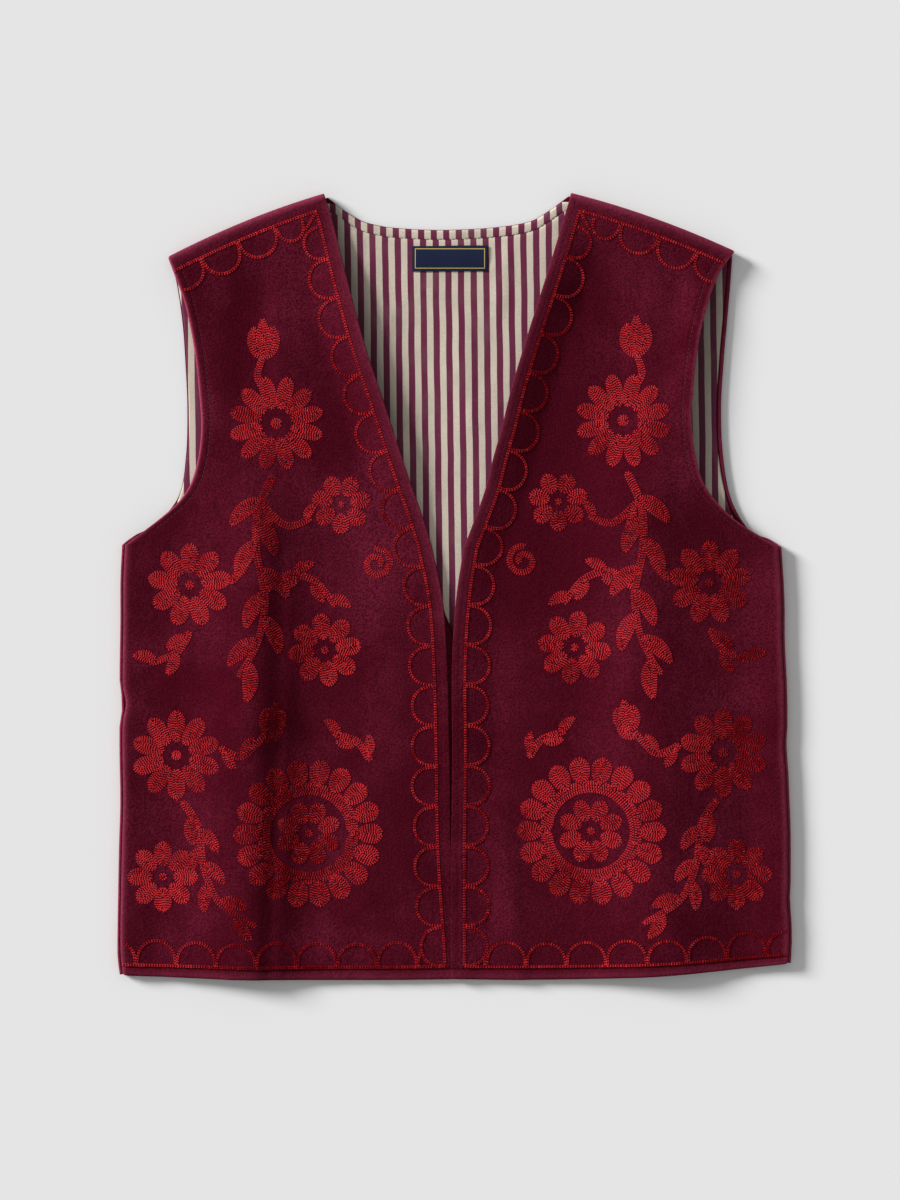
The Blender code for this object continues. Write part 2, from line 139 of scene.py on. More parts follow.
leftFolds = (
    Fold(142, 74, 150, -310, 44, 6.6, 1.6),
    Fold(140, 70, 144, -40, 28, 3.6, 0.8),
    Fold(148, -84, 154, -306, 32, 3.8, 0.85),
    Fold(100, 262, 116, 150, 18, -1.6),
    Fold(150, 250, 146, 130, 18, 1.6, 0.8),
    Fold(58, 170, 34, 60, 20, 0.9, 0.7),
    Fold(86, 90, 74, -10, 24, -1.2),
    Fold(34, -170, 46, -292, 16, 1.6, 0.6),
    Fold(92, -60, 96, -110, 20, -1),
    Fold(206, 20, 212, -300, 24, -2),
    # smaller creases
    Fold(170, 96, 184, 74, 7, 0.8, 0.8),
    Fold(140, 100, 128, 30, 8, -0.7, 0.9),
    Fold(52, 180, 34, 96, 8, -0.6, 0.8),
    Fold(212, -90, 222, -200, 7, -0.6, 0.9),
    Fold(232, -226, 243, -262, 6, -0.9, 0.8),
    Fold(236, -196, 249, -212, 6, 0.7, 0.9),
    Fold(30, -30, 26, -150, 9, -0.6, 0.9),
    Fold(112, -220, 132, -232, 5, 0.8, 0.8),
    Fold(150, -256, 156, -288, 8, -0.7, 0.8),
)


def smoothStep(value):
    value = min(max(value, 0.0), 1.0)
    return value * value * (3.0 - 2.0 * value)


def mix(start, end, share):
    return start + (end - start) * share


def curveValue(values, place):
    # smooth curve through evenly numbered values, read at a fractional number
    last = len(values) - 1
    index = min(int(place), last - 1)
    share = place - index
    start, end = values[index], values[index + 1]
    before = values[index - 1] if index > 0 else 2 * start - end
    after = values[index + 2] if index + 2 <= last else 2 * end - start
    leaving, arriving = (end - before) / 2.0, (after - start) / 2.0
    square, cube = share * share, share ** 3
    return ((2 * cube - 3 * square + 1) * start + (cube - 2 * square + share) * leaving
            + (3 * square - 2 * cube) * end + (cube - square) * arriving)


def columnValue(rows, column, place, corner):
    values = [getattr(row, column) for row in rows]
    if place <= corner:
        return curveValue(values[:corner + 1], place)
    return curveValue(values[corner:], place - corner)


def distanceToSegment(x, y, startX, startY, endX, endY):
    alongX, alongY = endX - startX, endY - startY
    share = ((x - startX) * alongX + (y - startY) * alongY) / (alongX ** 2 + alongY ** 2)
    share = min(max(share, 0.0), 1.0)
    return math.hypot(x - startX - alongX * share, y - startY - alongY * share)


def foldHeight(folds, x, y):
    total = 0.0
    for fold in folds:
        away = distanceToSegment(x, y, fold.highX, fold.highY, fold.lowX, fold.lowY)
        share = (y - fold.lowY) / (fold.highY - fold.lowY)
        crestX = mix(fold.lowX, fold.highX, min(max(share, 0.0), 1.0))
        width = fold.width * mix(1.0, fold.lee, smoothStep((x - crestX) / fold.width + 0.5))
        if away < 3 * width:
            total += fold.height * math.exp(-(away / width) ** 2)
    return total


def wander(x, y, pitch, seed):
    # slow uneven wave between about -1 and 1, the same on every run
    return (math.sin(x / pitch + seed) * math.cos(y / pitch * 0.83 + seed * 1.7)
            + math.sin((x + y) / pitch * 0.61 + seed * 2.3)) / 1.6


# Grooves where a seam or a row of topstitching draws the velvet down.
seams = {
    "edgeStitchFrom": 5.4,      # topstitching behind the front edge
    "armholeStitchFrom": 6.8,
    "hemGrooveFrom": 8.6,
    "grooveDepth": 0.34,
    "edgeGrooveDepth": 0.16,
    "hemGrooveDepth": 1.0,
    "shoulderGrooveFrom": 8.0,
    "grooveWidth": 0.9,
    "pucker": 0.16,
}


def groove(distance, centre, width, depth):
    return -depth * math.exp(-((distance - centre) / width) ** 2)


# Where a side edge is drawn in, or below zero let out, from its smooth run.
Nick = namedtuple("Nick", "y width inward")
rightNicks = (Nick(-86.0, 9.0, 2.5), Nick(6.0, 22.0, -0.8), Nick(-158.0, 26.0, 0.9))
leftNicks = (Nick(-40.0, 24.0, 1.0), Nick(-118.0, 12.0, 1.2), Nick(-232.0, 9.0, 1.0),
             Nick(-180.0, 24.0, -0.7))


def nickAt(nicks, y):
    return sum(nick.inward * math.exp(-((y - nick.y) / nick.width) ** 2) for nick in nicks)


def cornerInset(distance):
    radius = cloth["cornerRound"]
    short = max(radius - distance, 0.0)
    return radius - math.sqrt(radius ** 2 - short ** 2)


def shoulderBow(share, depth):
    return cloth["shoulderBow"] * 4 * share * (1 - share) * (1 - smoothStep(depth / 60.0))


def edgeDrop(distance, radius=cloth["edgeRound"]):
    if distance >= radius:
        return 0.0
    return radius - math.sqrt(radius ** 2 - (radius - distance) ** 2)


def frontEdges(sections, nicks, place):
    # plan of a front's two edges at one row, and the values the height needs there
    value = {name: columnValue(sections, name, place, underarm) for name in Section._fields[1:]}
    rolled = smoothStep(place - (underarm - 1))
    radius = cloth["sideRollRadius"]
    inset = radius * (1 - math.sin(math.radians(cloth["sideSeamFromTop"])))
    side = 1.0 if value["innerX"] > value["outerX"] else -1.0
    value["outerX"] += side * (inset * rolled + nickAt(nicks, value["outerY"]))
    depth, fromHem = place * cloth["yokeDepth"], (hem - place) * hemSpan
    value["outerX"] += side * (cornerInset(depth) + cornerInset(fromHem))
    value["innerX"] -= side * cornerInset(depth + 1.5)
    value["rolled"] = rolled
    value["depth"] = depth
    value["width"] = math.hypot(value["innerX"] - value["outerX"],
                                value["innerY"] - value["outerY"])
    return value


def frontPlan(value, fromOuter):
    share = fromOuter / value["width"]
    x = mix(value["outerX"], value["innerX"], share)
    y = mix(value["outerY"], value["innerY"], share) - 4 * value["sag"] * share * (1 - share)
    return x, y + shoulderBow(share, value["depth"])


def frontHeight(sections, folds, value, x, y, fromOuter, fromHem):
    fromInner = value["width"] - fromOuter
    top = sections[0]
    depth = distanceToSegment(x, y, top.outerX, top.outerY, top.innerX, top.innerY)
    radius = cloth["shoulderRollRadius"]
    calm = smoothStep(fromHem / cloth["hemCalm"])
    middle = contactHeight + mix(0.3, 1.0, calm) + mix(0.9, 1.0, calm) * foldHeight(folds, x, y)
    middle = max(middle, contactHeight)
    height = mix(value["innerZ"], middle, smoothStep(fromInner / cloth["innerFade"]))
    height = mix(value["outerZ"], height, smoothStep(fromOuter / cloth["outerFade"]))
    height = mix(2 * radius, height, smoothStep((depth - radius) / cloth["shoulderFade"]))
    height = max(height, contactHeight)
    height += cloth["unevenness"] * wander(x, y, 21.0, 0.4) * smoothStep(fromInner / 15.0)
    # stitched lines and the small puckers beside them
    low, wide = seams["grooveDepth"], seams["grooveWidth"]
    height += groove(fromInner, seams["edgeStitchFrom"], wide, seams["edgeGrooveDepth"])
    height += groove(depth, seams["shoulderGrooveFrom"], 1.4, 0.45)
    height += seams["pucker"] * math.sin(y / 2.1) * math.exp(-(fromInner / 5.5) ** 2)
    opened = 1.0 - value["rolled"]
    height += opened * groove(fromOuter, seams["armholeStitchFrom"], wide, low)
    height += groove(fromHem, seams["hemGrooveFrom"], 1.3, seams["hemGrooveDepth"])
    height += 0.2 * math.sin(x / 3.4) * math.exp(-(fromHem / 7.0) ** 2)
    # folded edges turn down softly
    height -= edgeDrop(fromInner, 0.5) + opened * edgeDrop(fromOuter) + edgeDrop(fromHem)
    height -= value["rolled"] * 1.1 * max(1 - fromOuter / 2.2, 0.0) ** 2
    return height


facing = {"top": -14.0, "foot": -232.0, "height": 6.1}


def facingTail(row, side):
    # the front edge's turned-in facing, which reaches under the other front beside the slit
    x, y, z = row[-1]
    opened = smoothStep((facing["top"] - y) / 24.0) * smoothStep((y - facing["foot"]) / 30.0)
    tail = []
    for away, drop, out, level in ((0.10, 0.5, 0.25, 0.30), (0.15, 0.9, 0.6, 0.75),
                                   (0.20, 1.3, 2.6, 0.96), (0.20, 1.7, 6.0, 1.0)):
        low = mix(z, facing["height"], level)
        tail.append((x + side * mix(away, out, opened), y, mix(z - drop, min(low, z - drop), opened)))
    return tail


# Painted sheen highlights along the velvet's folded edges, for each kind of edge.
edgeSheenLook = {"neck": 0.22, "besideNeck": 0.14, "armhole": 1.25, "side": 0.60, "shoulder": 0.62,
           "hem": 0.22}


def paintedEdgeSheen(value, fromOuter, fromHem):
    # painted sheen highlight: how much lighter the velvet is painted along a folded edge, where the
    # opened pile catches the light
    fromInner = value["width"] - fromOuter
    neck = (edgeSheenLook["neck"] * math.exp(-(fromInner / 2.0) ** 2)
            + edgeSheenLook["besideNeck"] * math.exp(-(fromInner / 9.0) ** 2))
    return max(neck * smoothStep((value["innerY"] + 60.0) / 60.0),
               (1 - value["rolled"]) * edgeSheenLook["armhole"] * math.exp(-(fromOuter / 1.5) ** 2),
               value["rolled"] * edgeSheenLook["side"] * math.exp(-(fromOuter / 3.0) ** 2),
               edgeSheenLook["shoulder"] * math.exp(-(value["depth"] / 5.0) ** 2),
               edgeSheenLook["hem"] * math.exp(-((fromHem - 3.0) / 3.0) ** 2))


# Soft ovals painted lighter or, below zero, darker. On the velvet they stand partly for brushed pile
# and partly for painted light and shade where folds turn towards or away from the light; on the thread
# they are painted light and shade.
Brush = namedtuple("Brush", "x y wide tall amount")
rightPileAndLightPatches = (
    Brush(-54, 36, 26, 56, 0.66), Brush(-122, 210, 16, 40, 0.40),
    Brush(-160, 190, 12, 46, -0.45), Brush(-98, 110, 18, 34, -0.25),
    Brush(-92, 62, 20, 18, 0.35), Brush(-64, -20, 14, 24, 0.35),
    Brush(-92, -2, 16, 22, 0.20), Brush(-50, -110, 22, 34, 0.25),
    Brush(-196, -68, 30, 10, -0.25), Brush(-232, -60, 12, 26, 0.40),
    Brush(-115, -60, 18, 20, 0.20), Brush(-92, -262, 40, 16, 0.25),
    Brush(-168, -100, 10, 60, -0.20), Brush(-185, 120, 10, 30, 0.25),
    Brush(-174, 216, 12, 24, 0.35),
)
leftPileAndLightPatches = (
    Brush(102, 218, 16, 34, -0.45), Brush(150, 200, 18, 40, 0.15),
    Brush(66, 130, 16, 50, -0.30), Brush(164, 84, 18, 18, 0.45),
    Brush(84, 20, 30, 30, -0.25), Brush(40, -120, 16, 60, 0.15),
    Brush(38, -220, 12, 40, 0.30), Brush(130, -90, 30, 14, -0.30),
    Brush(70, 40, 60, 120, -0.18),
    Brush(196, -86, 24, 10, 0.25), Brush(196, -210, 20, 40, 0.15),
    Brush(228, 10, 12, 18, 0.25), Brush(100, -190, 26, 22, -0.30),
)


def paintedLightAndBrushedPile(tonePatches, x, y):
    # sum of the soft ovals: brushed pile with painted light and shade on the velvet, painted light and
    # shade on the thread
    total = 0.0
    for oval in tonePatches:
        away = ((x - oval.x) / oval.wide) ** 2 + ((y - oval.y) / oval.tall) ** 2
        total += oval.amount * math.exp(-away)
    return total


def frontRows():
    # fractional section number of each row, and its height where it is in the shoulder's roll
    radius = cloth["shoulderRollRadius"]
    steps = 9
    rows = [(0.0, cloth["velvetWall"] + cloth["gap"])]
    for step in range(steps + 1):
        angle = math.pi / 2 * step / steps
        depth = radius * (1 - math.cos(angle))
        rows.append((depth / cloth["yokeDepth"], radius * (1 + math.sin(angle))))
    place = rows[-1][0]
    nearHem = [14.0, 12.0, 10.6, 9.8, 9.2, 8.6, 8.0, 7.4, 6.6, 5.0, 3.4, 2.2, 1.4, 0.8, 0.35, 0.0]
    spans = [18, 18, 44, 38, 22, 24, 24, 24, 26, 41, 49, 68, 68, 67, hemSpan]
    for number, span in enumerate(spans):
        count = max(round(span / 3.1), 2)
        for step in range(count):
            here = number + step / count
            if here > place + 0.05 and here < hem - nearHem[0] / hemSpan - 0.04:
                rows.append((here, None))
    rows += [(hem - away / hemSpan, None) for away in nearHem]
    return rows


def frontColumns(width):
    outer = [0.0, 0.3, 0.8, 1.4, 2.2, 3.6, 5.2, 6.0, 6.8, 7.6, 8.6, 10.5]
    inner = [11.0, 8.5, 7.0, 6.2, 5.4, 4.6, 3.8, 2.6, 1.7, 1.1, 0.6, 0.25, 0.0]
    count = 56
    middle = [mix(outer[-1], width - inner[0], (step + 1) / (count + 1)) for step in range(count)]
    return outer + middle + [width - away for away in inner]


def gridSheet(points, facesUp):
    # open sheet through rows of points given in millimetres
    columns, rows = len(points[0]) - 1, len(points) - 1
    sheet = bmesh.new()
    bmesh.ops.create_grid(sheet, x_segments=columns, y_segments=rows, size=1.0)
    for vert in sheet.verts:
        column = round((vert.co.x + 1) / 2 * columns)
        row = round((1 - vert.co.y) / 2 * rows)
        vert.co = Vector(points[row][column]) * mm
    sheet.normal_update()
    turned = sum(face.normal.z * face.calc_area() for face in sheet.faces)
    if (turned > 0) != facesUp:
        bmesh.ops.reverse_faces(sheet, faces=sheet.faces)
    sheet.normal_update()
    return sheet


def placeObject(name, data):
    thing = bpy.data.objects.new(name, data)
    bpy.context.scene.collection.objects.link(thing)
    return thing


def meshFrom(name, form):
    mesh = bpy.data.meshes.new(name)
    form.to_mesh(mesh)
    form.free()
    return mesh


def finishPiece(name, mesh, material, *nodes, slot=None):
    piece = placeObject(name, mesh)
    mesh.materials.append(material)
    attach(piece, "root")
    if nodes:
        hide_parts(*nodes)
    return piece


def clothPiece(name, sheet, wall, material, node, slot):
    mesh = meshFrom(name, sheet)
    mesh.shade_smooth()
    mesh.set_sharp_from_angle(angle=math.radians(42))
    piece = finishPiece(name, mesh, material, node, slot=slot)
    shell = piece.modifiers.new("wall", "SOLIDIFY")
    shell.thickness = wall * mm
    shell.offset = -1.0
    return piece


# Shader groups shared by the materials.
def newGroup(name, inputs, outputs):
    group = bpy.data.node_groups.new(name, "ShaderNodeTree")
    for label, kind, value in inputs:
        socket = group.interface.new_socket(label, in_out="INPUT", socket_type=kind)
        if value is not None:
            socket.default_value = value
    for label, kind in outputs:
        group.interface.new_socket(label, in_out="OUTPUT", socket_type=kind)
    enter = group.nodes.new("NodeGroupInput")
    leave = group.nodes.new("NodeGroupOutput")
    return group, enter, leave


def addNode(tree, kind, **settings):
    node = tree.nodes.new(kind)
    for key, value in settings.items():
        if key in node.inputs.keys():
            node.inputs[key].default_value = value
        else:
            setattr(node, key, value)
    return node


def link(tree, start, end):
    tree.links.new(start, end)


def mathNode(tree, operation, first, second=None):
    node = tree.nodes.new("ShaderNodeMath")
    node.operation = operation
    for number, value in enumerate((first, second)):
        if value is None:
            continue
        if isinstance(value, (int, float)):
            node.inputs[number].default_value = value
        else:
            tree.links.new(value, node.inputs[number])
    return node.outputs[0]


def mixColour(tree, share, first, second):
    node = tree.nodes.new("ShaderNodeMix")
    node.data_type = "RGBA"
    for socket, value in ((node.inputs["Factor"], share), (node.inputs["A"], first),
                          (node.inputs["B"], second)):
        if isinstance(value, (int, float, tuple)):
            socket.default_value = value
        else:
            tree.links.new(value, socket)
    return node.outputs["Result"]


def ramp(tree, value, low, high):
    node = tree.nodes.new("ShaderNodeMapRange")
    node.interpolation_type = "SMOOTHSTEP"
    node.inputs["From Min"].default_value = low
    node.inputs["From Max"].default_value = high
    tree.links.new(value, node.inputs["Value"])
    return node.outputs["Result"]


def noiseField(tree, vector, scale, **settings):
    node = addNode(tree, "ShaderNodeTexNoise", **settings)
    link(tree, vector, node.inputs["Vector"])
    if isinstance(scale, float):
        node.inputs["Scale"].default_value = scale
    else:
        link(tree, scale, node.inputs["Scale"])
    return node.outputs["Fac"]


def makeClothGrain():
    # fine fibres, slow mottling and long streaks, for any cloth
    group, enter, leave = newGroup(
        "clothGrain",
        [("Vector", "NodeSocketVector", None), ("Fibre Scale", "NodeSocketFloat", 1400.0),
         ("Mottle Scale", "NodeSocketFloat", 14.0), ("Streak Stretch", "NodeSocketFloat", 0.12)],
        [("Fibre", "NodeSocketFloat"), ("Mottle", "NodeSocketFloat"), ("Streak", "NodeSocketFloat")])
    given = enter.outputs
    stretch = addNode(group, "ShaderNodeCombineXYZ", X=1.0, Z=1.0)
    link(group, given["Streak Stretch"], stretch.inputs["Y"])
    scaled = addNode(group, "ShaderNodeVectorMath", operation="MULTIPLY")
    link(group, given["Vector"], scaled.inputs[0])
    link(group, stretch.outputs[0], scaled.inputs[1])
    for label, field in (
            ("Fibre", noiseField(group, given["Vector"], given["Fibre Scale"], Detail=2.0,
                                 Roughness=0.6)),
            ("Mottle", noiseField(group, given["Vector"], given["Mottle Scale"], Detail=4.0,
                                  Roughness=0.55, Distortion=0.6)),
            ("Streak", noiseField(group, scaled.outputs[0], 210.0, Detail=3.0, Roughness=0.6))):
        link(group, field, leave.inputs[label])
    return group


clothGrain = makeClothGrain()


def startMaterial(name, roughness, specular):
    material = bpy.data.materials.new(name)
    material.use_nodes = True
    tree = material.node_tree
    shader = tree.nodes["Principled BSDF"]
    shader.inputs["Roughness"].default_value = roughness
    shader.inputs["Specular IOR Level"].default_value = specular
    place = tree.nodes.new("ShaderNodeTexCoord").outputs["Object"]
    return material, tree, shader, place


def addGrain(tree, place, fibreScale, mottleScale, stretch):
    grain = tree.nodes.new("ShaderNodeGroup")
    grain.node_tree = clothGrain
    grain.inputs["Fibre Scale"].default_value = fibreScale
    grain.inputs["Mottle Scale"].default_value = mottleScale
    grain.inputs["Streak Stretch"].default_value = stretch
    link(tree, place, grain.inputs["Vector"])
    return grain


def storedValue(tree, name):
    node = tree.nodes.new("ShaderNodeAttribute")
    node.attribute_name = name
    return node.outputs["Fac"]


def tinted(tree, colour, mask, low, high, amount, other):
    # colour mixed towards another one where a mask runs high
    share = mathNode(tree, "MULTIPLY", ramp(tree, mask, low, high), amount)
    return mixColour(tree, share, colour, other)


def addBump(tree, shader, height, strength, distance):
    bump = addNode(tree, "ShaderNodeBump", Strength=strength, Distance=distance)
    link(tree, height, bump.inputs["Height"])
    link(tree, bump.outputs["Normal"], shader.inputs["Normal"])


velvetLook = {
    "deepPile": (0.036, 0.0018, 0.0058, 1.0),
    "restPile": (0.070, 0.0036, 0.0108, 1.0),
    "paintedLightAndBrushedPile": (0.140, 0.0120, 0.0300, 1.0),
    "sheenHighlightPile": (0.330, 0.0480, 0.0980, 1.0),
    "sheenTint": (0.82, 0.08, 0.20, 1.0),
}


def makeVelvet():
    material, tree, shader, place = startMaterial("plumVelvet", 0.9, 0.0)
    grain = addGrain(tree, place, 760.0, 13.0, 0.25)
    finer = addGrain(tree, place, 420.0, 55.0, 0.25)
    edgeSheen = storedValue(tree, "edgeHighlight")
    # brushed pile together with painted light and shade on folds, from the stored patch field
    pileAndLightShare = storedValue(tree, "paintedLightAndBrushedPile")
    share = mathNode(tree, "MULTIPLY", ramp(tree, grain.outputs["Mottle"], 0.34, 0.70), 0.42)
    patch = mathNode(tree, "MULTIPLY", ramp(tree, finer.outputs["Mottle"], 0.35, 0.70), 0.20)
    share = mathNode(tree, "ADD", share, patch)
    share = mathNode(tree, "ADD", share, pileAndLightShare)
    share = ramp(tree, share, -0.10, 1.0)
    colour = mixColour(tree, share, velvetLook["restPile"], velvetLook["paintedLightAndBrushedPile"])
    deep = velvetLook["deepPile"]
    colour = tinted(tree, colour, grain.outputs["Streak"], 0.35, 0.68, 0.16, deep)
    colour = tinted(tree, colour, grain.outputs["Fibre"], 0.38, 0.62, 0.72, deep)
    # painted sheen highlight along folded edges, from the stored edge field
    share = mathNode(tree, "MULTIPLY", edgeSheen,
                     mathNode(tree, "ADD", finer.outputs["Fibre"], 0.25))
    colour = mixColour(tree, share, colour, velvetLook["sheenHighlightPile"])
    link(tree, colour, shader.inputs["Base Color"])
    shader.inputs["Sheen Weight"].default_value = 0.26
    shader.inputs["Sheen Roughness"].default_value = 0.35
    shader.inputs["Sheen Tint"].default_value = velvetLook["sheenTint"]
    height = mathNode(tree, "ADD", grain.outputs["Fibre"], finer.outputs["Fibre"])
    addBump(tree, shader, height, 0.6, 0.0006)
    return material


threadLook = {
    "deep": (0.160, 0.0005, 0.0016, 1.0),
    "bright": (0.750, 0.0360, 0.0460, 1.0),
}


def makeThread():
    material, tree, shader, place = startMaterial("crimsonThread", 0.55, 0.03)
    # the thread's stored tone: random tone plus painted shade and highlights, mixed between the deep
    # and bright thread colours
    tone = storedValue(tree, "threadToneAndPaintedLight")
    grain = addGrain(tree, place, 2600.0, 34.0, 0.6)
    mottle = mathNode(tree, "SUBTRACT", grain.outputs["Mottle"], 0.5)
    share = mathNode(tree, "ADD", tone, mathNode(tree, "MULTIPLY", mottle, 0.8))
    share = ramp(tree, share, 0.0, 1.0)
    colour = mixColour(tree, share, threadLook["deep"], threadLook["bright"])
    link(tree, colour, shader.inputs["Base Color"])
    shader.inputs["Sheen Weight"].default_value = 0.02
    shader.inputs["Sheen Tint"].default_value = (1.0, 0.25, 0.22, 1.0)
    addBump(tree, shader, grain.outputs["Fibre"], 0.4, 0.0003)
    return material


liningLook = {
    "plum": (0.142, 0.0062, 0.046, 1.0),
    "cream": (0.70, 0.61, 0.50, 1.0),
    "pitch": 9.34,
    "creamCentre": -8.97,      # where a cream stripe's middle lies at the height below
    "atHeight": 213.0,
    "lean": 0.012,             # how much the stripes lean with height
    "facingShift": -1.4,       # the stripes step sideways above the neck's stitching
    "paintedShadowShare": 0.55,         # how far the painted shadow darkens the lining beside a front's raised edge
    "paintedShadowColour": (0.012, 0.006, 0.008, 1.0),
    "fibreShade": (0.10, 0.055, 0.06, 1.0),
    "mottleShade": (0.22, 0.15, 0.12, 1.0),
}


def makeStripeWeave():
    group, enter, leave = newGroup(
        "stripeWeave",
        [("Vector", "NodeSocketVector", None), ("Shift", "NodeSocketFloat", 0.0),
         ("Pitch", "NodeSocketFloat", 9.34), ("Lean", "NodeSocketFloat", 0.0)],
        [("Stripe", "NodeSocketFloat"), ("Weave", "NodeSocketFloat")])
    wobble = noiseField(group, enter.outputs["Vector"], 22.0, Detail=2.0)
    parts = group.nodes.new("ShaderNodeSeparateXYZ")
    link(group, enter.outputs["Vector"], parts.inputs[0])
    x = mathNode(group, "MULTIPLY", parts.outputs["X"], 1000.0)
    y = mathNode(group, "MULTIPLY", parts.outputs["Y"], 1000.0)
    x = mathNode(group, "ADD", x, mathNode(group, "MULTIPLY", y, enter.outputs["Lean"]))
    x = mathNode(group, "ADD", x, enter.outputs["Shift"])
    wobble = mathNode(group, "MULTIPLY", mathNode(group, "SUBTRACT", wobble, 0.5), 1.6)
    x = mathNode(group, "ADD", x, wobble)
    turn = mathNode(group, "DIVIDE", x, enter.outputs["Pitch"])
    wave = mathNode(group, "COSINE", mathNode(group, "MULTIPLY", turn, 2 * math.pi))
    stripe = ramp(group, wave, -0.10, 0.10)
    warp = mathNode(group, "SINE", mathNode(group, "MULTIPLY", parts.outputs["X"], 9000.0))
    weft = mathNode(group, "SINE", mathNode(group, "MULTIPLY", parts.outputs["Y"], 8200.0))
    link(group, stripe, leave.inputs["Stripe"])
    link(group, mathNode(group, "MULTIPLY", warp, weft), leave.inputs["Weave"])
    return group


stripeWeave = makeStripeWeave()


def makeLining():
    material, tree, shader, place = startMaterial("stripedLining", 0.72, 0.25)
    turned = storedValue(tree, "facing")
    weave = tree.nodes.new("ShaderNodeGroup")
    weave.node_tree = stripeWeave
    look = liningLook
    start = -look["creamCentre"] - look["lean"] * look["atHeight"]
    weave.inputs["Pitch"].default_value = look["pitch"]
    weave.inputs["Lean"].default_value = look["lean"]
    shift = mathNode(tree, "MULTIPLY", turned, -look["facingShift"])
    link(tree, mathNode(tree, "ADD", shift, start), weave.inputs["Shift"])
    link(tree, place, weave.inputs["Vector"])
    grain = addGrain(tree, place, 1900.0, 30.0, 0.15)
    colour = mixColour(tree, weave.outputs["Stripe"], look["plum"], look["cream"])
    colour = tinted(tree, colour, grain.outputs["Fibre"], 0.3, 0.75, 0.30, look["fibreShade"])
    colour = tinted(tree, colour, grain.outputs["Mottle"], 0.45, 0.75, 0.22, look["mottleShade"])
    # painted shadow: the lining's colour is darkened where the stored deep field runs high, beside the
    # fronts' edges
    deep = storedValue(tree, "deep")
    shade = mathNode(tree, "MULTIPLY", deep, look["paintedShadowShare"])
    colour = mixColour(tree, shade, colour, look["paintedShadowColour"])
    link(tree, colour, shader.inputs["Base Color"])
    height = mathNode(tree, "ADD", weave.outputs["Weave"], grain.outputs["Fibre"])
    addBump(tree, shader, height, 0.35, 0.0003)
    return material


labelLook = {
    "length": 56.0, "height": 19.0, "centreX": -3.5, "centreY": 244.5,
    "navy": (0.0075, 0.0135, 0.042, 1.0), "gold": (0.55, 0.37, 0.09, 1.0),
    "ruleInset": 2.3, "ruleWidth": 0.6,
}


def makeLabelTape():
    material, tree, shader, place = startMaterial("labelTape", 0.8, 0.12)
    parts = tree.nodes.new("ShaderNodeSeparateXYZ")
    link(tree, place, parts.inputs[0])
    look = labelLook
    away = []
    for axis, centre, size in (("X", look["centreX"], look["length"]),
                               ("Y", look["centreY"], look["height"])):
        value = mathNode(tree, "MULTIPLY", parts.outputs[axis], 1000.0)
        value = mathNode(tree, "ABSOLUTE", mathNode(tree, "SUBTRACT", value, centre))
        away.append(mathNode(tree, "SUBTRACT", size / 2 - look["ruleInset"], value))
    inside = mathNode(tree, "MINIMUM", away[0], away[1])
    rule = mathNode(tree, "LESS_THAN", mathNode(tree, "ABSOLUTE", inside), look["ruleWidth"] / 2)
    grain = addGrain(tree, place, 2400.0, 60.0, 0.3)
    rib = mathNode(tree, "SINE", mathNode(tree, "MULTIPLY", parts.outputs["X"], 11000.0))
    navy = mixColour(tree, mathNode(tree, "MULTIPLY", grain.outputs["Fibre"], 0.6),
                     look["navy"], (0.012, 0.020, 0.052, 1.0))
    link(tree, mixColour(tree, rule, navy, look["gold"]), shader.inputs["Base Color"])
    addBump(tree, shader, mathNode(tree, "ADD", rib, grain.outputs["Fibre"]), 0.4, 0.0002)
    return material


def makeSewingThread():
    material, tree, shader, place = startMaterial("sewingThread", 0.5, 0.3)
    grain = addGrain(tree, place, 3000.0, 80.0, 0.5)
    colour = mixColour(tree, grain.outputs["Mottle"], (0.030, 0.004, 0.012, 1.0),
                       (0.085, 0.012, 0.035, 1.0))
    link(tree, colour, shader.inputs["Base Color"])
    addBump(tree, shader, grain.outputs["Fibre"], 0.3, 0.0002)
    return material


velvet = makeVelvet()
thread = makeThread()
lining = makeLining()
labelTape = makeLabelTape()
sewingThread = makeSewingThread()
print("materials ready")


def storeField(mesh, name, points, values):
    # a value for each place of a sheet, found again by the place's plan position
    level = {}
    for row, line in zip(points, values):
        for point, value in zip(row, line):
            level[tuple(round(part, 1) for part in point)] = value
    field = mesh.attributes.new(name, "FLOAT", "POINT")
    for vert in mesh.vertices:
        key = tuple(round(part / mm, 1) for part in vert.co)
        field.data[vert.index].value = level.get(key, 0.0)


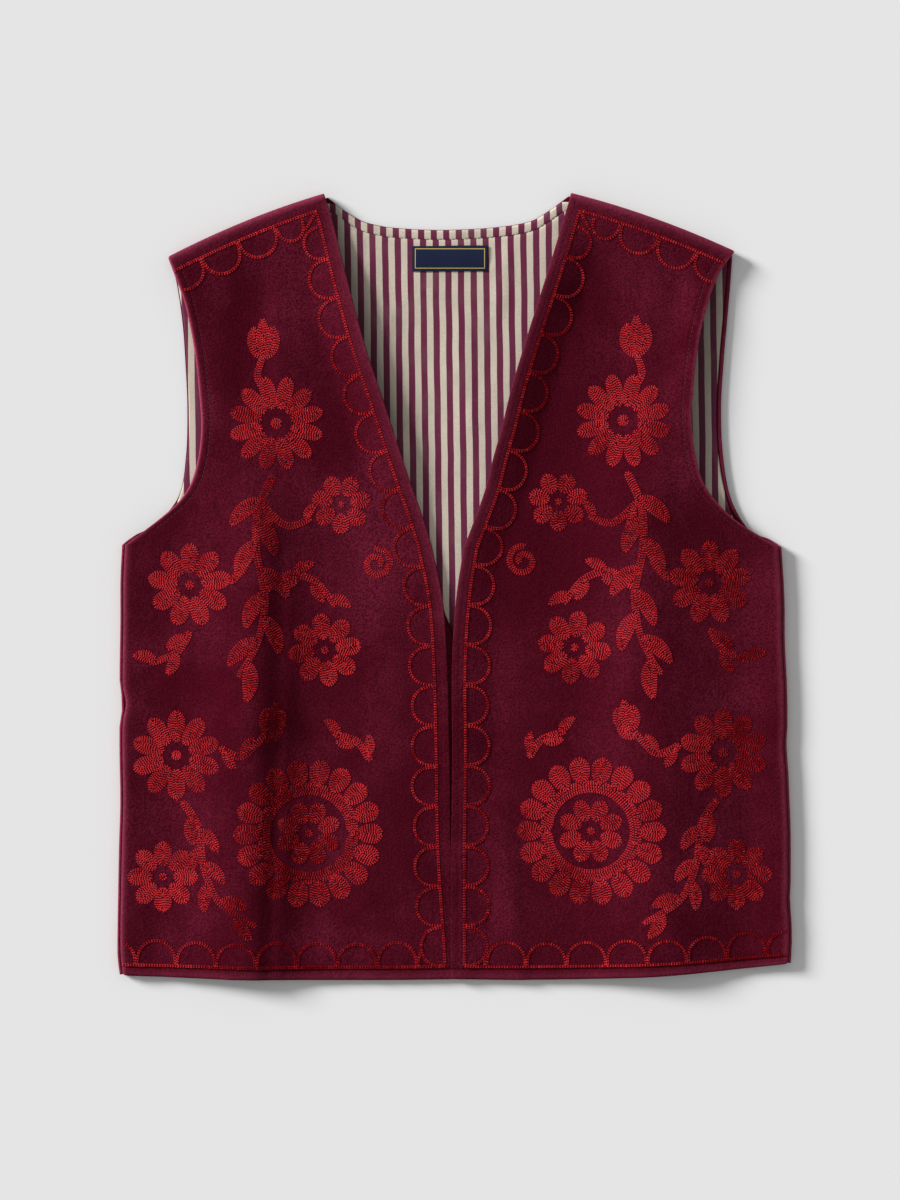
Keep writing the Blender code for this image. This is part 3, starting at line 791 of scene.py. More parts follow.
def makeFront(name, node, sections, folds, nicks, tonePatches):
    points, edgeSheens, pileAndLight = [], [], []
    for place, rollHeight in frontRows():
        value = frontEdges(sections, nicks, place)
        fromHem = (hem - place) * hemSpan if place > hem - 2 else 99.0
        row, edgeSheen = [], []
        for fromOuter in frontColumns(value["width"]):
            x, y = frontPlan(value, fromOuter)
            z = rollHeight
            if z is None:
                z = frontHeight(sections, folds, value, x, y, fromOuter, fromHem)
            elif z > 6:
                inner = min(fromOuter, value["width"] - fromOuter)
                z -= edgeDrop(inner) * 0.8
            row.append((x, y, z))
            edgeSheen.append(paintedEdgeSheen(value, fromOuter, fromHem))
        if rollHeight is None:
            row += facingTail(row, 1.0 if sections is rightSections else 0.0)
        else:
            outward = 0.05 if sections is rightSections else -0.05
            row += [(row[-1][0] + outward * step, row[-1][1], row[-1][2] - 0.1 * step)
                    for step in (1, 2, 3, 4)]
        edgeSheen += [0.0] * 4
        points.append(row)
        edgeSheens.append(edgeSheen)
        # brushed pile together with painted light and shade on folds
        pileAndLight.append([paintedLightAndBrushedPile(tonePatches, x, y) for x, y, z in row])
    sheet = gridSheet(points, facesUp=True)
    surface = BVHTree.FromBMesh(sheet)
    piece = clothPiece(name, sheet, cloth["velvetWall"] - 0.2, velvet, node, "velvet")
    storeField(piece.data, "edgeHighlight", points, edgeSheens)
    storeField(piece.data, "paintedLightAndBrushedPile", points, pileAndLight)
    print(name, len(piece.data.polygons), "faces before its wall")
    return piece, surface


rightFront, rightSurface = makeFront("rightFrontVelvet", "right_front", rightSections,
                                     rightFolds, rightNicks, rightPileAndLightPatches)
leftFront, leftSurface = makeFront("leftFrontVelvet", "left_front", leftSections, leftFolds,
                                   leftNicks, leftPileAndLightPatches)
print("fronts ready")

# One row for each section across the back: its edges, how far they roll over the sides and how
# much of the neck's outline the row still follows; liningIn is where the lining stops.
BackSection = namedtuple("BackSection", "place leftX leftY rightX rightY roll neckShare liningIn")
fullRoll = 132.0
backSections = (
    BackSection("shoulder", -211, 244.5, 206.5, 249, 0, 1, 0.8),
    BackSection("yoke", -206, 224, 205, 227, 0, 0.92, 0.8),
    BackSection("neck base", -202, 196, 202.5, 198, 0, 0.55, 0.8),
    BackSection("blade", -200, 168, 200, 169, 0, 0.2, 0.8),
    BackSection("armhole", -198.5, 134, 198, 134, 0, 0, 0.8),
    BackSection("scoop", -199.5, 98, 199.5, 98, 0, 0, 0.8),
    BackSection("scoop turn", -205, 68, 205.5, 66, 0, 0, 0.8),
    BackSection("scoop out", -222, 47.5, 219, 43, 0, 0, 5),
    BackSection("under scoop", -237, 39.5, 233.5, 36.5, 35, 0, 9.4),
    BackSection("underarm", -246.5, 32, 242.5, 30.5, fullRoll, 0, 9.9),
    BackSection("waist", -247.5, -9, 245, -9, fullRoll, 0, 9.9),
    BackSection("belly", -248.5, -58, 246.5, -58, fullRoll, 0, 9.9),
    BackSection("hip", -248.8, -126.5, 247.6, -126.5, fullRoll, 0, 9.9),
    BackSection("low hip", -249.2, -195, 249, -195, fullRoll, 0, 9.9),
    BackSection("above hem", -250.2, -262, 250.2, -256, fullRoll, 0, 9.9),
    BackSection("lining hem", -249.8, -276, 250, -268, fullRoll, 0, 9.9),
    BackSection("hem", -248.5, -286.5, 249.6, -278, fullRoll, 0, 9.9),
)
backSteps = (16, 8, 8, 8, 8, 6, 6, 6, 6, 6, 5, 6, 6, 6, 3, 4)
neckOutline = ((-95.5, 290.0), (-84.0, 281.0), (-69.5, 272.5), (-50.0, 268.0), (-15.0, 266.0),
               (20.0, 267.0), (44.0, 269.5), (60.0, 273.5), (74.5, 282.5), (86.0, 291.0))
backLook = {
    "rollSteps": 14,
    "neckStitchFrom": 6.6,     # topstitching below the neck edge
    "shoulderColumns": 10,
    "neckColumns": 6,          # columns between two points of the neck's outline
    "facingDepth": 6.5,        # how far down the lining's stripes are shifted
    "liningStart": -12.0,      # where the lining's side strip starts, from the roll's root
    "rightInset": 2.8,         # how much further in the lining stops at the left armhole
    "hemSag": 3.5,
    "armholeStand": 1.4,       # how high the right-hand armhole's turned edge stands
}


def neckHeight(x):
    top, first, last = backSections[0], neckOutline[0], neckOutline[-1]
    if x <= first[0]:
        share = min(max((x - top.leftX) / (first[0] - top.leftX), 0.0), 1.0)
        return mix(top.leftY, first[1], share) + shoulderBow(share, 0.0)
    if x >= last[0]:
        share = min(max((x - last[0]) / (top.rightX - last[0]), 0.0), 1.0)
        return mix(last[1], top.rightY, share) + shoulderBow(share, 0.0)
    for number in range(len(neckOutline) - 1):
        start, end = neckOutline[number], neckOutline[number + 1]
        if x <= end[0]:
            share = (x - start[0]) / (end[0] - start[0])
            return curveValue([point[1] for point in neckOutline], number + share)
    return last[1]


def rolledStrip(roll, start, inset):
    radius = cloth["sideRollRadius"]
    strip = math.radians(fullRoll) * radius
    flat = strip - math.radians(roll) * radius
    end = strip - inset
    steps = backLook["rollSteps"]
    section = []
    for step in range(1, steps + 1):
        length = mix(start, end, step / steps)
        angle = max(length - flat, 0.0) / radius
        section.append((min(length, flat) + radius * math.sin(angle),
                        radius * (1 - math.cos(angle))))
    return section


def backShares():
    top = backSections[0]
    strip = math.radians(fullRoll) * cloth["sideRollRadius"]
    start = top.leftX + strip
    width = (top.rightX - strip) - start
    places = []
    for number in range(len(neckOutline) - 1):
        count = backLook["neckColumns"]
        places += [mix(neckOutline[number][0], neckOutline[number + 1][0], step / count)
                   for step in range(count)]
    places.append(neckOutline[-1][0])
    necks = [(x - start) / width for x in places]
    count = backLook["shoulderColumns"]
    left = [mix(0.0, necks[0], step / count) for step in range(count)]
    right = [mix(necks[-1], 1.0, (step + 1) / count) for step in range(count)]
    return left + necks + right


def backRows(isLining):
    rows = []
    for number, steps in enumerate(backSteps):
        if number == 0 and isLining:
            # close rows beside the neck's stitching
            depths = [0.0, 1.2, 2.6, 4.2, 5.6, 6.2, 6.6, 7.0, 7.8, 9.4, 11.5, 14.0, 17.0]
            rows += [depth / cloth["yokeDepth"] for depth in depths]
            continue
        rows += [number + step / steps for step in range(steps)]
    return rows if isLining else rows + [float(len(backSteps))]


def backPoints(isLining):
    top = backSections[0]
    shares = backShares()
    last = len(backSections) - 1
    points = []
    for place in backRows(isLining):
        value = {name: columnValue(backSections, name, place, underarm)
                 for name in BackSection._fields[1:]}
        roll = max(value["roll"], 0.0)
        value["leftX"] += nickAt(rightNicks, value["leftY"]) + cornerInset(place * cloth["yokeDepth"])
        value["rightX"] -= nickAt(leftNicks, value["rightY"]) + cornerInset(place * cloth["yokeDepth"])
        start = backLook["liningStart"] if isLining else 0.0
        strip = rolledStrip(roll, start, value["liningIn"] if isLining else 0.0)
        opened = 1.0 - roll / fullRoll
        rightStrip = strip
        if isLining:
            rightStrip = rolledStrip(roll, start, value["liningIn"] + backLook["rightInset"] * opened)
        reach = max(spot[0] for spot in rolledStrip(roll, 0.0, 0.0))
        leftRoot, rightRoot = value["leftX"] + reach, value["rightX"] - reach
        spots = [(leftRoot - out, height) for out, height in reversed(strip)]
        spots += [(mix(leftRoot - start, rightRoot + start, share), 0.0) for share in shares]
        spots += [(rightRoot + out, height) for out, height in rightStrip]
        sag = backLook["hemSag"] * smoothStep(place - (last - 2))
        row = []
        for x, height in spots:
            share = (x - value["leftX"]) / (value["rightX"] - value["leftX"])
            y = mix(value["leftY"], value["rightY"], share)
            topX = mix(top.leftX, top.rightX, share)
            bump = neckHeight(topX) - mix(top.leftY, top.rightY, share)
            y += bump * value["neckShare"] - 4 * sag * share * (1 - share)
            if isLining:
                inNeck = neckOutline[0][0] + 1 < topX < neckOutline[-1][0] - 1
                y -= (0.4 if inNeck else 3.0) * max(1 - place, 0.0)
            else:                                      # the armhole's turned edge stands up
                inward = (value["rightX"] - x) / 3.6
                height += backLook["armholeStand"] * opened * smoothStep(1 - inward)
            row.append((x, y, height))
        points.append(row)
    return points


def makeBack():
    points = backPoints(isLining=False)
    sheet = gridSheet(points, facesUp=False)
    piece = clothPiece("backVelvet", sheet, cloth["velvetWall"], velvet, "back_panel", "velvet")
    # painted sheen highlight where the back's sheet rolls up at the sides and where the armhole's edge
    # stands up
    edgeSheens = [[0.6 * smoothStep(point[2] / 2.4) for point in row] for row in points]
    storeField(piece.data, "edgeHighlight", points, edgeSheens)
    return piece


# Creases of the lining that shows between the fronts.
liningFolds = (
    Fold(-34, 232, 30, 238, 3.5, 0.7),
    Fold(-20, 222, 36, 214, 4, 0.8),
    Fold(-44, 205, 4, 196, 4.5, 0.7),
    Fold(6, 190, 12, 120, 6, 0.9, 0.8),
    Fold(-22, 176, -10, 90, 5, -0.6),
    Fold(-60, 246, -48, 196, 5, 0.8, 0.8),
    Fold(40, 250, 34, 206, 5, 0.7, 0.8),
    Fold(-14, 120, 14, 104, 3, 0.6),
    Fold(-2, 158, 10, 140, 2.6, 0.9, 0.7),
    Fold(26, 160, 10, 139, 2.6, -0.7),
    Fold(-74, 262, -62, 232, 4, 0.9, 0.8),
)


# Painted shadow on the lining: where it lies beside and under the raised edge of a front, its colour
# is darkened towards a near-black shade.
liningPaintedShadows = (
    Fold(-98, 300, -47, 120, 9, 0.85),
    Fold(191, 236, 178, 88, 16, 0.90),
)


def makeBackLining():
    base = cloth["velvetWall"] + cloth["gap"] + 1.0
    points = []
    rows = backRows(isLining=True)
    for place, row in zip(rows, backPoints(isLining=True)):
        depth = place * cloth["yokeDepth"]
        line = []
        for x, y, height in row:
            z = base + max(foldHeight(liningFolds, x, y), -0.25)
            z += 0.12 * wander(x, y, 9.0, 1.3)
            if abs(x) < 95 and place < 1:
                z += groove(depth, backLook["neckStitchFrom"], 0.8, 0.45)
                z -= 0.7 * max(1 - depth / 1.4, 0.0) ** 2
            line.append((x, y, z))
        points.append(line)
    sheet = gridSheet(points, facesUp=True)
    surface = BVHTree.FromBMesh(sheet)
    piece = clothPiece("backLining", sheet, cloth["liningWall"], lining, "back_lining",
                       "striped_lining")
    above = [[1.0 if place * cloth["yokeDepth"] < backLook["facingDepth"] and abs(x) < 97 else 0.0
              for x, y, z in row] for place, row in zip(rows, points)]
    storeField(piece.data, "facing", points, above)
    # painted shadow beside the fronts' raised edges, stored as the deep field
    deep = [[foldHeight(liningPaintedShadows, x, y) for x, y, z in row] for row in points]
    storeField(piece.data, "deep", points, deep)
    return piece, surface


backVelvet = makeBack()
backLining, liningSurface = makeBackLining()
print("back and lining ready")


def makeLabel():
    look = labelLook
    tape = bmesh.new()
    bmesh.ops.create_cube(tape, size=1.0)
    size = Vector((look["length"], look["height"], 0.8)) * mm
    bmesh.ops.scale(tape, vec=size, verts=tape.verts)
    bmesh.ops.bevel(tape, geom=tape.edges[:], offset=0.25 * mm, segments=2, profile=0.5,
                    affect="EDGES", material=-1)
    bmesh.ops.translate(tape, vec=Vector((look["centreX"], look["centreY"], 4.15)) * mm,
                        verts=tape.verts)
    long = [edge for edge in tape.edges
            if abs(edge.verts[0].co.x - edge.verts[1].co.x) > look["length"] * 0.8 * mm]
    bmesh.ops.subdivide_edges(tape, edges=long, cuts=22, use_grid_fill=True)
    for vert in tape.verts:
        along = (vert.co.x / mm - look["centreX"]) / (look["length"] / 2)
        across = (vert.co.y / mm - look["centreY"]) / (look["height"] / 2)
        lift = 0.25 * (1 - along ** 2) + 0.10 * math.sin(along * 7.0)
        vert.co.z += lift * mm
        vert.co.y += 0.25 * mm * math.sin(along * 2.4) * (0.6 + 0.4 * across)
    mesh = meshFrom("neckLabel", tape)
    mesh.shade_smooth()
    mesh.set_sharp_from_angle(angle=math.radians(50))
    return finishPiece("neckLabel", mesh, labelTape, "neck_label", slot="label_tape")


neckLabel = makeLabel()

# The embroidery: rows of chain stitches that follow each shape's outline inwards.
stitch = {
    "rowWidth": 1.66,
    "pitch": 1.85,
    "nearest": 1.0,
    "fillNearest": 1.30,
    "strandLength": 2.22,
    "strandWidth": 0.68,
    "strandHeight": 0.36,
    "strandAngle": 30.0,
    "spread": 0.41,
    "lift": 0.22,
    "steepest": 0.55,          # least upward part of the cloth's normal that takes a stitch
    "paintedTopLight": 0.72,             # painted highlight: how much lighter a strand is painted on top than at its shaded ends
}


def turnShape(form, verts, degrees, axis):
    matrix = Matrix.Rotation(math.radians(degrees), 3, axis)
    bmesh.ops.rotate(form, cent=(0, 0, 0), verts=verts, matrix=matrix)


def chainLink():
    # two slim strands that part from one point, each a four-sided spindle
    form = bmesh.new()
    for side in (-1.0, 1.0):
        before = set(form.verts)
        bmesh.ops.create_uvsphere(form, u_segments=4, v_segments=2, radius=0.5)
        verts = [vert for vert in form.verts if vert not in before]
        turnShape(form, verts, 90, "Y")
        turnShape(form, verts, 45, "X")
        bmesh.ops.scale(form, vec=(stitch["strandLength"], stitch["strandWidth"] * 1.2,
                                   stitch["strandHeight"] * 1.2), verts=verts)
        turnShape(form, verts, stitch["strandAngle"] * side, "Z")
        bmesh.ops.translate(form, vec=(0.0, stitch["spread"] * side, 0.0), verts=verts)
    bmesh.ops.triangulate(form, faces=form.faces)
    form.verts.index_update()
    verts = np.array([vert.co[:] for vert in form.verts])
    faces = np.array([[vert.index for vert in face.verts] for face in form.faces])
    form.free()
    return verts, faces


linkVerts, linkFaces = chainLink()


def smoothLine(points, count):
    values = [np.array(point, float) for point in points]
    last = len(values) - 1
    return np.array([curveValue(values, last * step / count) for step in range(count + 1)])


def lineNormals(line):
    along = np.gradient(line, axis=0)
    along /= np.maximum(np.linalg.norm(along, axis=1), 1e-9)[:, None]
    return np.stack([-along[:, 1], along[:, 0]], axis=1)


def travelledAlong(line):
    steps = np.linalg.norm(np.diff(line, axis=0), axis=1)
    return np.concatenate([[0.0], np.cumsum(steps)])


def pointsAt(line, travelled, where):
    return np.stack([np.interp(where, travelled, line[:, axis]) for axis in (0, 1)], axis=1)


def strokeShape(stroke):
    # middle line and half-widths of a stroke, round at both ends
    line = smoothLine([place[:2] for place in stroke], 12 * (len(stroke) - 1))
    half = smoothLine([place[2:] for place in stroke], 12 * (len(stroke) - 1))[:, 0] / 2
    travelled = travelledAlong(line)
    left = travelled[-1] - travelled
    for far, cap in ((left, half[-1] * 1.25), (travelled, half[0] * 1.25)):
        share = np.clip(1 - far / cap, 0.0, 1.0)
        half = half * np.sqrt(np.maximum(1 - share ** 2.0, 0.0))
    return line, half


def runsOf(mask):
    edges = np.flatnonzero(np.diff(np.concatenate([[0], mask.astype(int), [0]])))
    return zip(edges[::2], edges[1::2])


def strokeStitches(line, half):
    # rows of stitches that follow the outline inwards, and a last one where they leave room
    width = stitch["rowWidth"]
    travelled = travelledAlong(line)
    length = travelled[-1]
    turn = np.linspace(0.0, math.pi, max(int(length / 0.25), 8))
    where = length * (1 - np.cos(turn)) / 2            # closer together at the round ends
    nearEnd = np.minimum(where / max(half[1:8].max(), 1e-6), (length - where)
                         / max(half[-8:-1].max(), 1e-6)) < 1.25
    half = np.interp(where, travelled, half)
    line = pointsAt(line, travelled, where)
    normals = lineNormals(line)
    pairs = np.floor(half / width)
    rest = half - pairs * width
    tracks = []
    for row in range(int(pairs.max()) + 1):
        offset = half - (row + 0.5) * width
        mask = (pairs > row) | (nearEnd & (offset > 0))
        tracks += [(offset, mask), (-offset, mask)]
    tracks += [(rest * 0.5, rest > 0.74 * width), (rest * -0.5, rest > 0.74 * width)]
    tracks.append((rest * 0.0, (rest > 0.24 * width) & (rest <= 0.74 * width)))
    spots, ways = [], []
    for offset, mask in tracks:
        path = line + normals * offset[:, None]
        for start, end in runsOf(mask):
            if end - start > 2:
                found, way = stitchesAlong(path[start:end], stitch["pitch"])
                spots.append(found)
                ways.append(way)
    if not spots:
        return np.zeros((0, 2)), np.zeros((0, 2))
    return np.concatenate(spots), np.concatenate(ways)


def strokeFill(line, half):
    # a close lattice over a stroke, a little in from its outline, with its middle line's direction
    normals = lineNormals(line)
    along = np.gradient(line, axis=0)
    spots, ways = [], []
    for place, normal, way, reach in zip(line, normals, along, half):
        inside = reach - 0.75
        for offset in np.arange(-inside, inside + 0.01, 0.6) if inside > 0 else ():
            spots.append(place + normal * offset)
            ways.append(way)
    return np.array(spots).reshape(-1, 2), np.array(ways).reshape(-1, 2)


def stitchesAlong(path, pitch):
    # places and directions of the stitches along a path in plan
    travelled = travelledAlong(path)
    length = travelled[-1]
    if length < pitch * 0.6:
        return np.zeros((0, 2)), np.zeros((0, 2))
    count = max(int(round(length / pitch)), 1)
    shift = chance.uniform(0.1, 0.9)                   # so that links of two rows don't line up
    where = (np.arange(count) + shift) * length / count
    spots = pointsAt(path, travelled, where)
    ahead = pointsAt(path, travelled, np.minimum(where + 0.5, length))
    behind = pointsAt(path, travelled, np.maximum(where - 0.5, 0.0))
    return spots, ahead - behind


# The embroidery's motifs, each worked out from a centre, a reach and a count. A stroke is a list
# of places with its width there, as (x, y, width). Strokes listed first lie over the later ones.
motif = {
    "petalGap": 0.94,          # a petal's width against its share of the ring halfway out
    "leafLean": 46.0,          # degrees between a stem and its leaves
    "leafBend": 20.0,
    "firstLeaf": 0.16,         # shares of a stem between which its leaves grow
    "lastLeaf": 0.90,
    "stemWidth": 6.4,
    "stemTip": 4.6,
    "heartGap": 1.2,
}


def polar(centre, degrees, radius):
    angle = math.radians(degrees)
    return centre[0] + radius * math.cos(angle), centre[1] + radius * math.sin(angle)


def petal(centre, degrees, inner, reach, width):
    profile = ((0.0, 0.62), (0.38, 0.96), (0.72, 1.0), (1.0, 0.58))
    return [polar(centre, degrees, mix(inner, reach, share)) + (width * full,)
            for share, full in profile]


def flower(centre, petals, heart, reach, turn=0.0):
    # petals round an open heart with a small disc in it
    width = motif["petalGap"] * 2 * math.pi * mix(heart, reach, 0.5) / petals
    disc = heart - motif["heartGap"]
    return [petal(centre, turn + 360.0 * number / petals, heart, reach, width)
            for number in range(petals)] + [
                [(centre[0] - 0.4 * disc, centre[1], disc), (centre[0] + 0.4 * disc, centre[1], disc)]]


def leaf(root, degrees, length, width, bend):
    # a pointed leaf that curves away by bend degrees
    place, strokes = root, [root + (width * 0.34,)]
    for share, full in ((0.25, 0.86), (0.5, 1.0), (0.75, 0.78), (1.0, 0.30)):
        place = polar(place, degrees + bend * (share - 0.25) * 2, length / 4)
        strokes.append(place + (width * full,))
    return strokes


def tendril(centre, start, radius, turns):
    # a curl that winds in towards its centre; turns below zero winds clockwise
    count = int(abs(turns) * 8)
    return [polar(centre, start + 360.0 * turns * step / count, radius * (1 - 0.78 * step / count))
            + (motif["stemTip"],) for step in range(count + 1)]


def stem(route, leaves=0, length=0.0, width=0.0):
    # a stem along a smooth route, with leaves in turn on its two sides
    line = smoothLine(route, 8 * (len(route) - 1))
    strokes = []
    for number in range(leaves):
        share = mix(motif["firstLeaf"], motif["lastLeaf"], number / max(leaves - 1, 1))
        index = min(int(share * (len(line) - 1)), len(line) - 2)
        ahead = line[index + 1] - line[index]
        degrees = math.degrees(math.atan2(ahead[1], ahead[0]))
        side = 1 if number % 2 else -1
        strokes.append(leaf(tuple(line[index]), degrees + side * motif["leafLean"], length, width,
                            -side * motif["leafBend"]))
    tips = len(line) - 1
    strokes.append([tuple(place) + (mix(motif["stemWidth"], motif["stemTip"], number / tips),)
                    for number, place in enumerate(line) if number % 4 == 0])
    return strokes


def sunWheel(centre, ring, ringWidth, rays, reach):
    # a closed ring with rays round it
    width = motif["petalGap"] * 2 * math.pi * (ring + 0.5 * reach) / rays
    strokes = [petal(centre, 360.0 * number / rays, ring + 0.3 * ringWidth, ring + reach,
                     width) for number in range(rays)]
    circle = [polar(centre, 360.0 * step / 16, ring) + (ringWidth,) for step in range(17)]
    return strokes + [circle]


def bud(root, degrees, length, width):
    return [leaf(root, degrees + lean, length * share, width, -lean * 0.8)
            for lean, share in ((0.0, 1.0), (38.0, 0.86), (-38.0, 0.86))]


def highMotifs():
    strokes = bud((-141, 170), degrees=92, length=30.0, width=11.0)
    strokes += flower((-132, 122), petals=12, heart=11.0, reach=35.0, turn=15.0)
    strokes += flower((-84, 62), petals=7, heart=7.0, reach=22.0, turn=12.0)
    strokes += flower((-196, 2), petals=9, heart=9.0, reach=31.0, turn=10.0)
    strokes += flower((-96, -46), petals=8, heart=8.0, reach=27.0, turn=8.0)
    strokes += [tendril((-58, 18), start=100.0, radius=12.0, turns=-1.4)]
    strokes += stem(((-134, 84), (-145, 58), (-146, 26), (-140, -8), (-146, -42), (-160, -66)),
                    leaves=8, length=30.0, width=12.0)
    strokes += stem(((-141, 148), (-146, 158), (-141, 174)))
    strokes += stem(((-143, 62), (-124, 46), (-106, 52)), leaves=2, length=15.0, width=7.0)
    strokes += stem(((-140, -2), (-122, 10), (-102, 4), (-88, -14)),
                    leaves=4, length=18.0, width=8.5)
    strokes += stem(((-166, 4), (-156, 14), (-147, 30)))
    strokes += stem(((-196, -32), (-206, -48), (-226, -56)), leaves=3, length=18.0, width=9.0)
    return strokes


def lowMotifs():
    strokes = flower((-108, -182), petals=8, heart=8.0, reach=24.0, turn=22.5)
    strokes += sunWheel((-108, -182), ring=33.0, ringWidth=9.0, rays=18, reach=22.0)
    strokes += flower((-206, -124), petals=10, heart=10.0, reach=33.0, turn=18.0)
    strokes += flower((-216, -214), petals=8, heart=8.0, reach=26.0)
    strokes += bud((-136, -108), degrees=80, length=24.0, width=9.5)
    strokes += stem(((-202, -158), (-190, -176), (-186, -204), (-174, -232), (-146, -250)),
                    leaves=7, length=22.0, width=10.0)
    strokes += stem(((-174, -118), (-156, -124), (-138, -106)), leaves=3, length=16.0, width=8.0)
    strokes += stem(((-62, -128), (-72, -114), (-90, -108)), leaves=3, length=16.0, width=8.0)
    return strokes


# The left front's embroidery is the right's, mirrored and set a little towards its front edge.
leftShift = (-7.0, 2.0)


def mirrored(points):
    return points * (-1, 1) + leftShift


def outsideShape(spots, line, half, margin):
    gap = np.linalg.norm(spots[:, None, :] - line[None, :, :], axis=2) - half[None, :]
    return gap.min(axis=1) > -margin


def spacedOut(spots, taken, nearest):
    # which places aren't crowded by one already taken
    keep = np.ones(len(spots), bool)
    reach = range(-int(math.ceil(nearest)), int(math.ceil(nearest)) + 1)
    for number, (x, y) in enumerate(spots):
        column, row = int(x // 1.0), int(y // 1.0)
        near = [spot for i in reach for j in reach
                for spot in taken.get((column + i, row + j), ())]
        if any(math.hypot(x - spot[0], y - spot[1]) < nearest for spot in near):
            keep[number] = False
        else:
            taken.setdefault((column, row), []).append((x, y))
    return keep


def sewStrokes(strokes, isLeft):
    # every stitch of a group of strokes: places, directions and tones
    sewn, placed, taken = [], [], {}

    def sew(spots, ways, tone, around, nearest):
        keep = np.ones(len(spots), bool)
        for otherLine, otherHalf, margin in around:
            keep &= outsideShape(spots, otherLine, otherHalf, margin)
        spots, ways = spots[keep], ways[keep]
        keep = spacedOut(spots, taken, nearest)
        sewn.append((spots[keep], ways[keep], np.full(keep.sum(), tone)))

    shapes = [strokeShape(stroke) for stroke in strokes]
    for line, half in shapes:
        sew(*strokeStitches(line, half), chance.uniform(0.40, 0.60), placed, stitch["nearest"])
        placed.append((line, half, 0.3))
    for line, half in shapes:                          # where petals meet and leave a hole
        sew(*strokeFill(line, half), 0.45, [], stitch["fillNearest"])
    spots, ways, tones = [np.concatenate(part) for part in zip(*sewn)]
    if isLeft:
        spots, ways = mirrored(spots), ways * (-1, 1)
    return spots, ways, tones


# Painted shade and light on the thread: where it is painted darker or, above zero, lighter than the
# rest of its front, as folds turn it away from or towards the light.
threadShadePatches = {
    "right": (
        Brush(-128, -40, 28, 110, -0.40), Brush(-126, -190, 30, 90, -0.42),
        Brush(-172, 150, 16, 30, -0.30), Brush(-132, 85, 20, 40, -0.34),
        Brush(-62, 50, 16, 22, -0.35), Brush(-165, -110, 18, 30, -0.15),
        Brush(-160, -240, 16, 24, -0.40), Brush(-90, 150, 24, 30, -0.22),
        Brush(-182, -150, 16, 120, -0.15), Brush(-190, 20, 14, 24, -0.16),
        Brush(-240, 0, 12, 40, 0.16), Brush(-240, -160, 10, 60, 0.12),
        Brush(-225, -278, 40, 10, 0.28),
        Brush(-150, 252, 90, 24, 0.16), Brush(-76, 215, 14, 70, 0.12),
        Brush(-28, -60, 12, 90, 0.08), Brush(-84, -225, 34, 46, -0.22),
        Brush(-46, 14, 18, 26, -0.20),
        Brush(-80, -278, 70, 10, -0.16),
    ),
    "left": (
        Brush(218, -30, 38, 90, -0.44), Brush(224, -190, 42, 120, -0.48),
        Brush(168, 40, 20, 36, -0.34), Brush(92, 52, 30, 20, -0.24),
        Brush(62, -22, 26, 46, -0.36), Brush(92, -195, 20, 30, -0.22),
        Brush(84, -232, 26, 20, -0.18), Brush(120, -60, 14, 18, -0.30),
        Brush(82, -66, 16, 24, -0.18), Brush(82, 140, 16, 30, -0.26),
        Brush(38, -216, 18, 50, -0.42), Brush(40, -150, 14, 22, -0.36),
        Brush(160, 150, 16, 36, -0.26), Brush(172, 98, 22, 18, -0.22),
        Brush(102, 98, 14, 18, -0.26), Brush(66, 165, 22, 70, -0.30),
        Brush(22, -30, 12, 50, 0.08), Brush(120, -278, 60, 10, 0.18),
        Brush(42, -40, 10, 40, -0.20),
    ),
}


def onCloth(surface, spot, way, steepest):
    # a stitch's place, direction and normal on the cloth, or None where it would miss
    above = Vector((spot[0] * mm, spot[1] * mm, 0.05))
    hit, normal, _, _ = surface.ray_cast(above, Vector((0, 0, -1)))
    if hit is None or normal.z < steepest:
        return None
    along = Vector((way[0], way[1], 0.0))
    return hit, (along - normal * along.dot(normal)).normalized(), normal


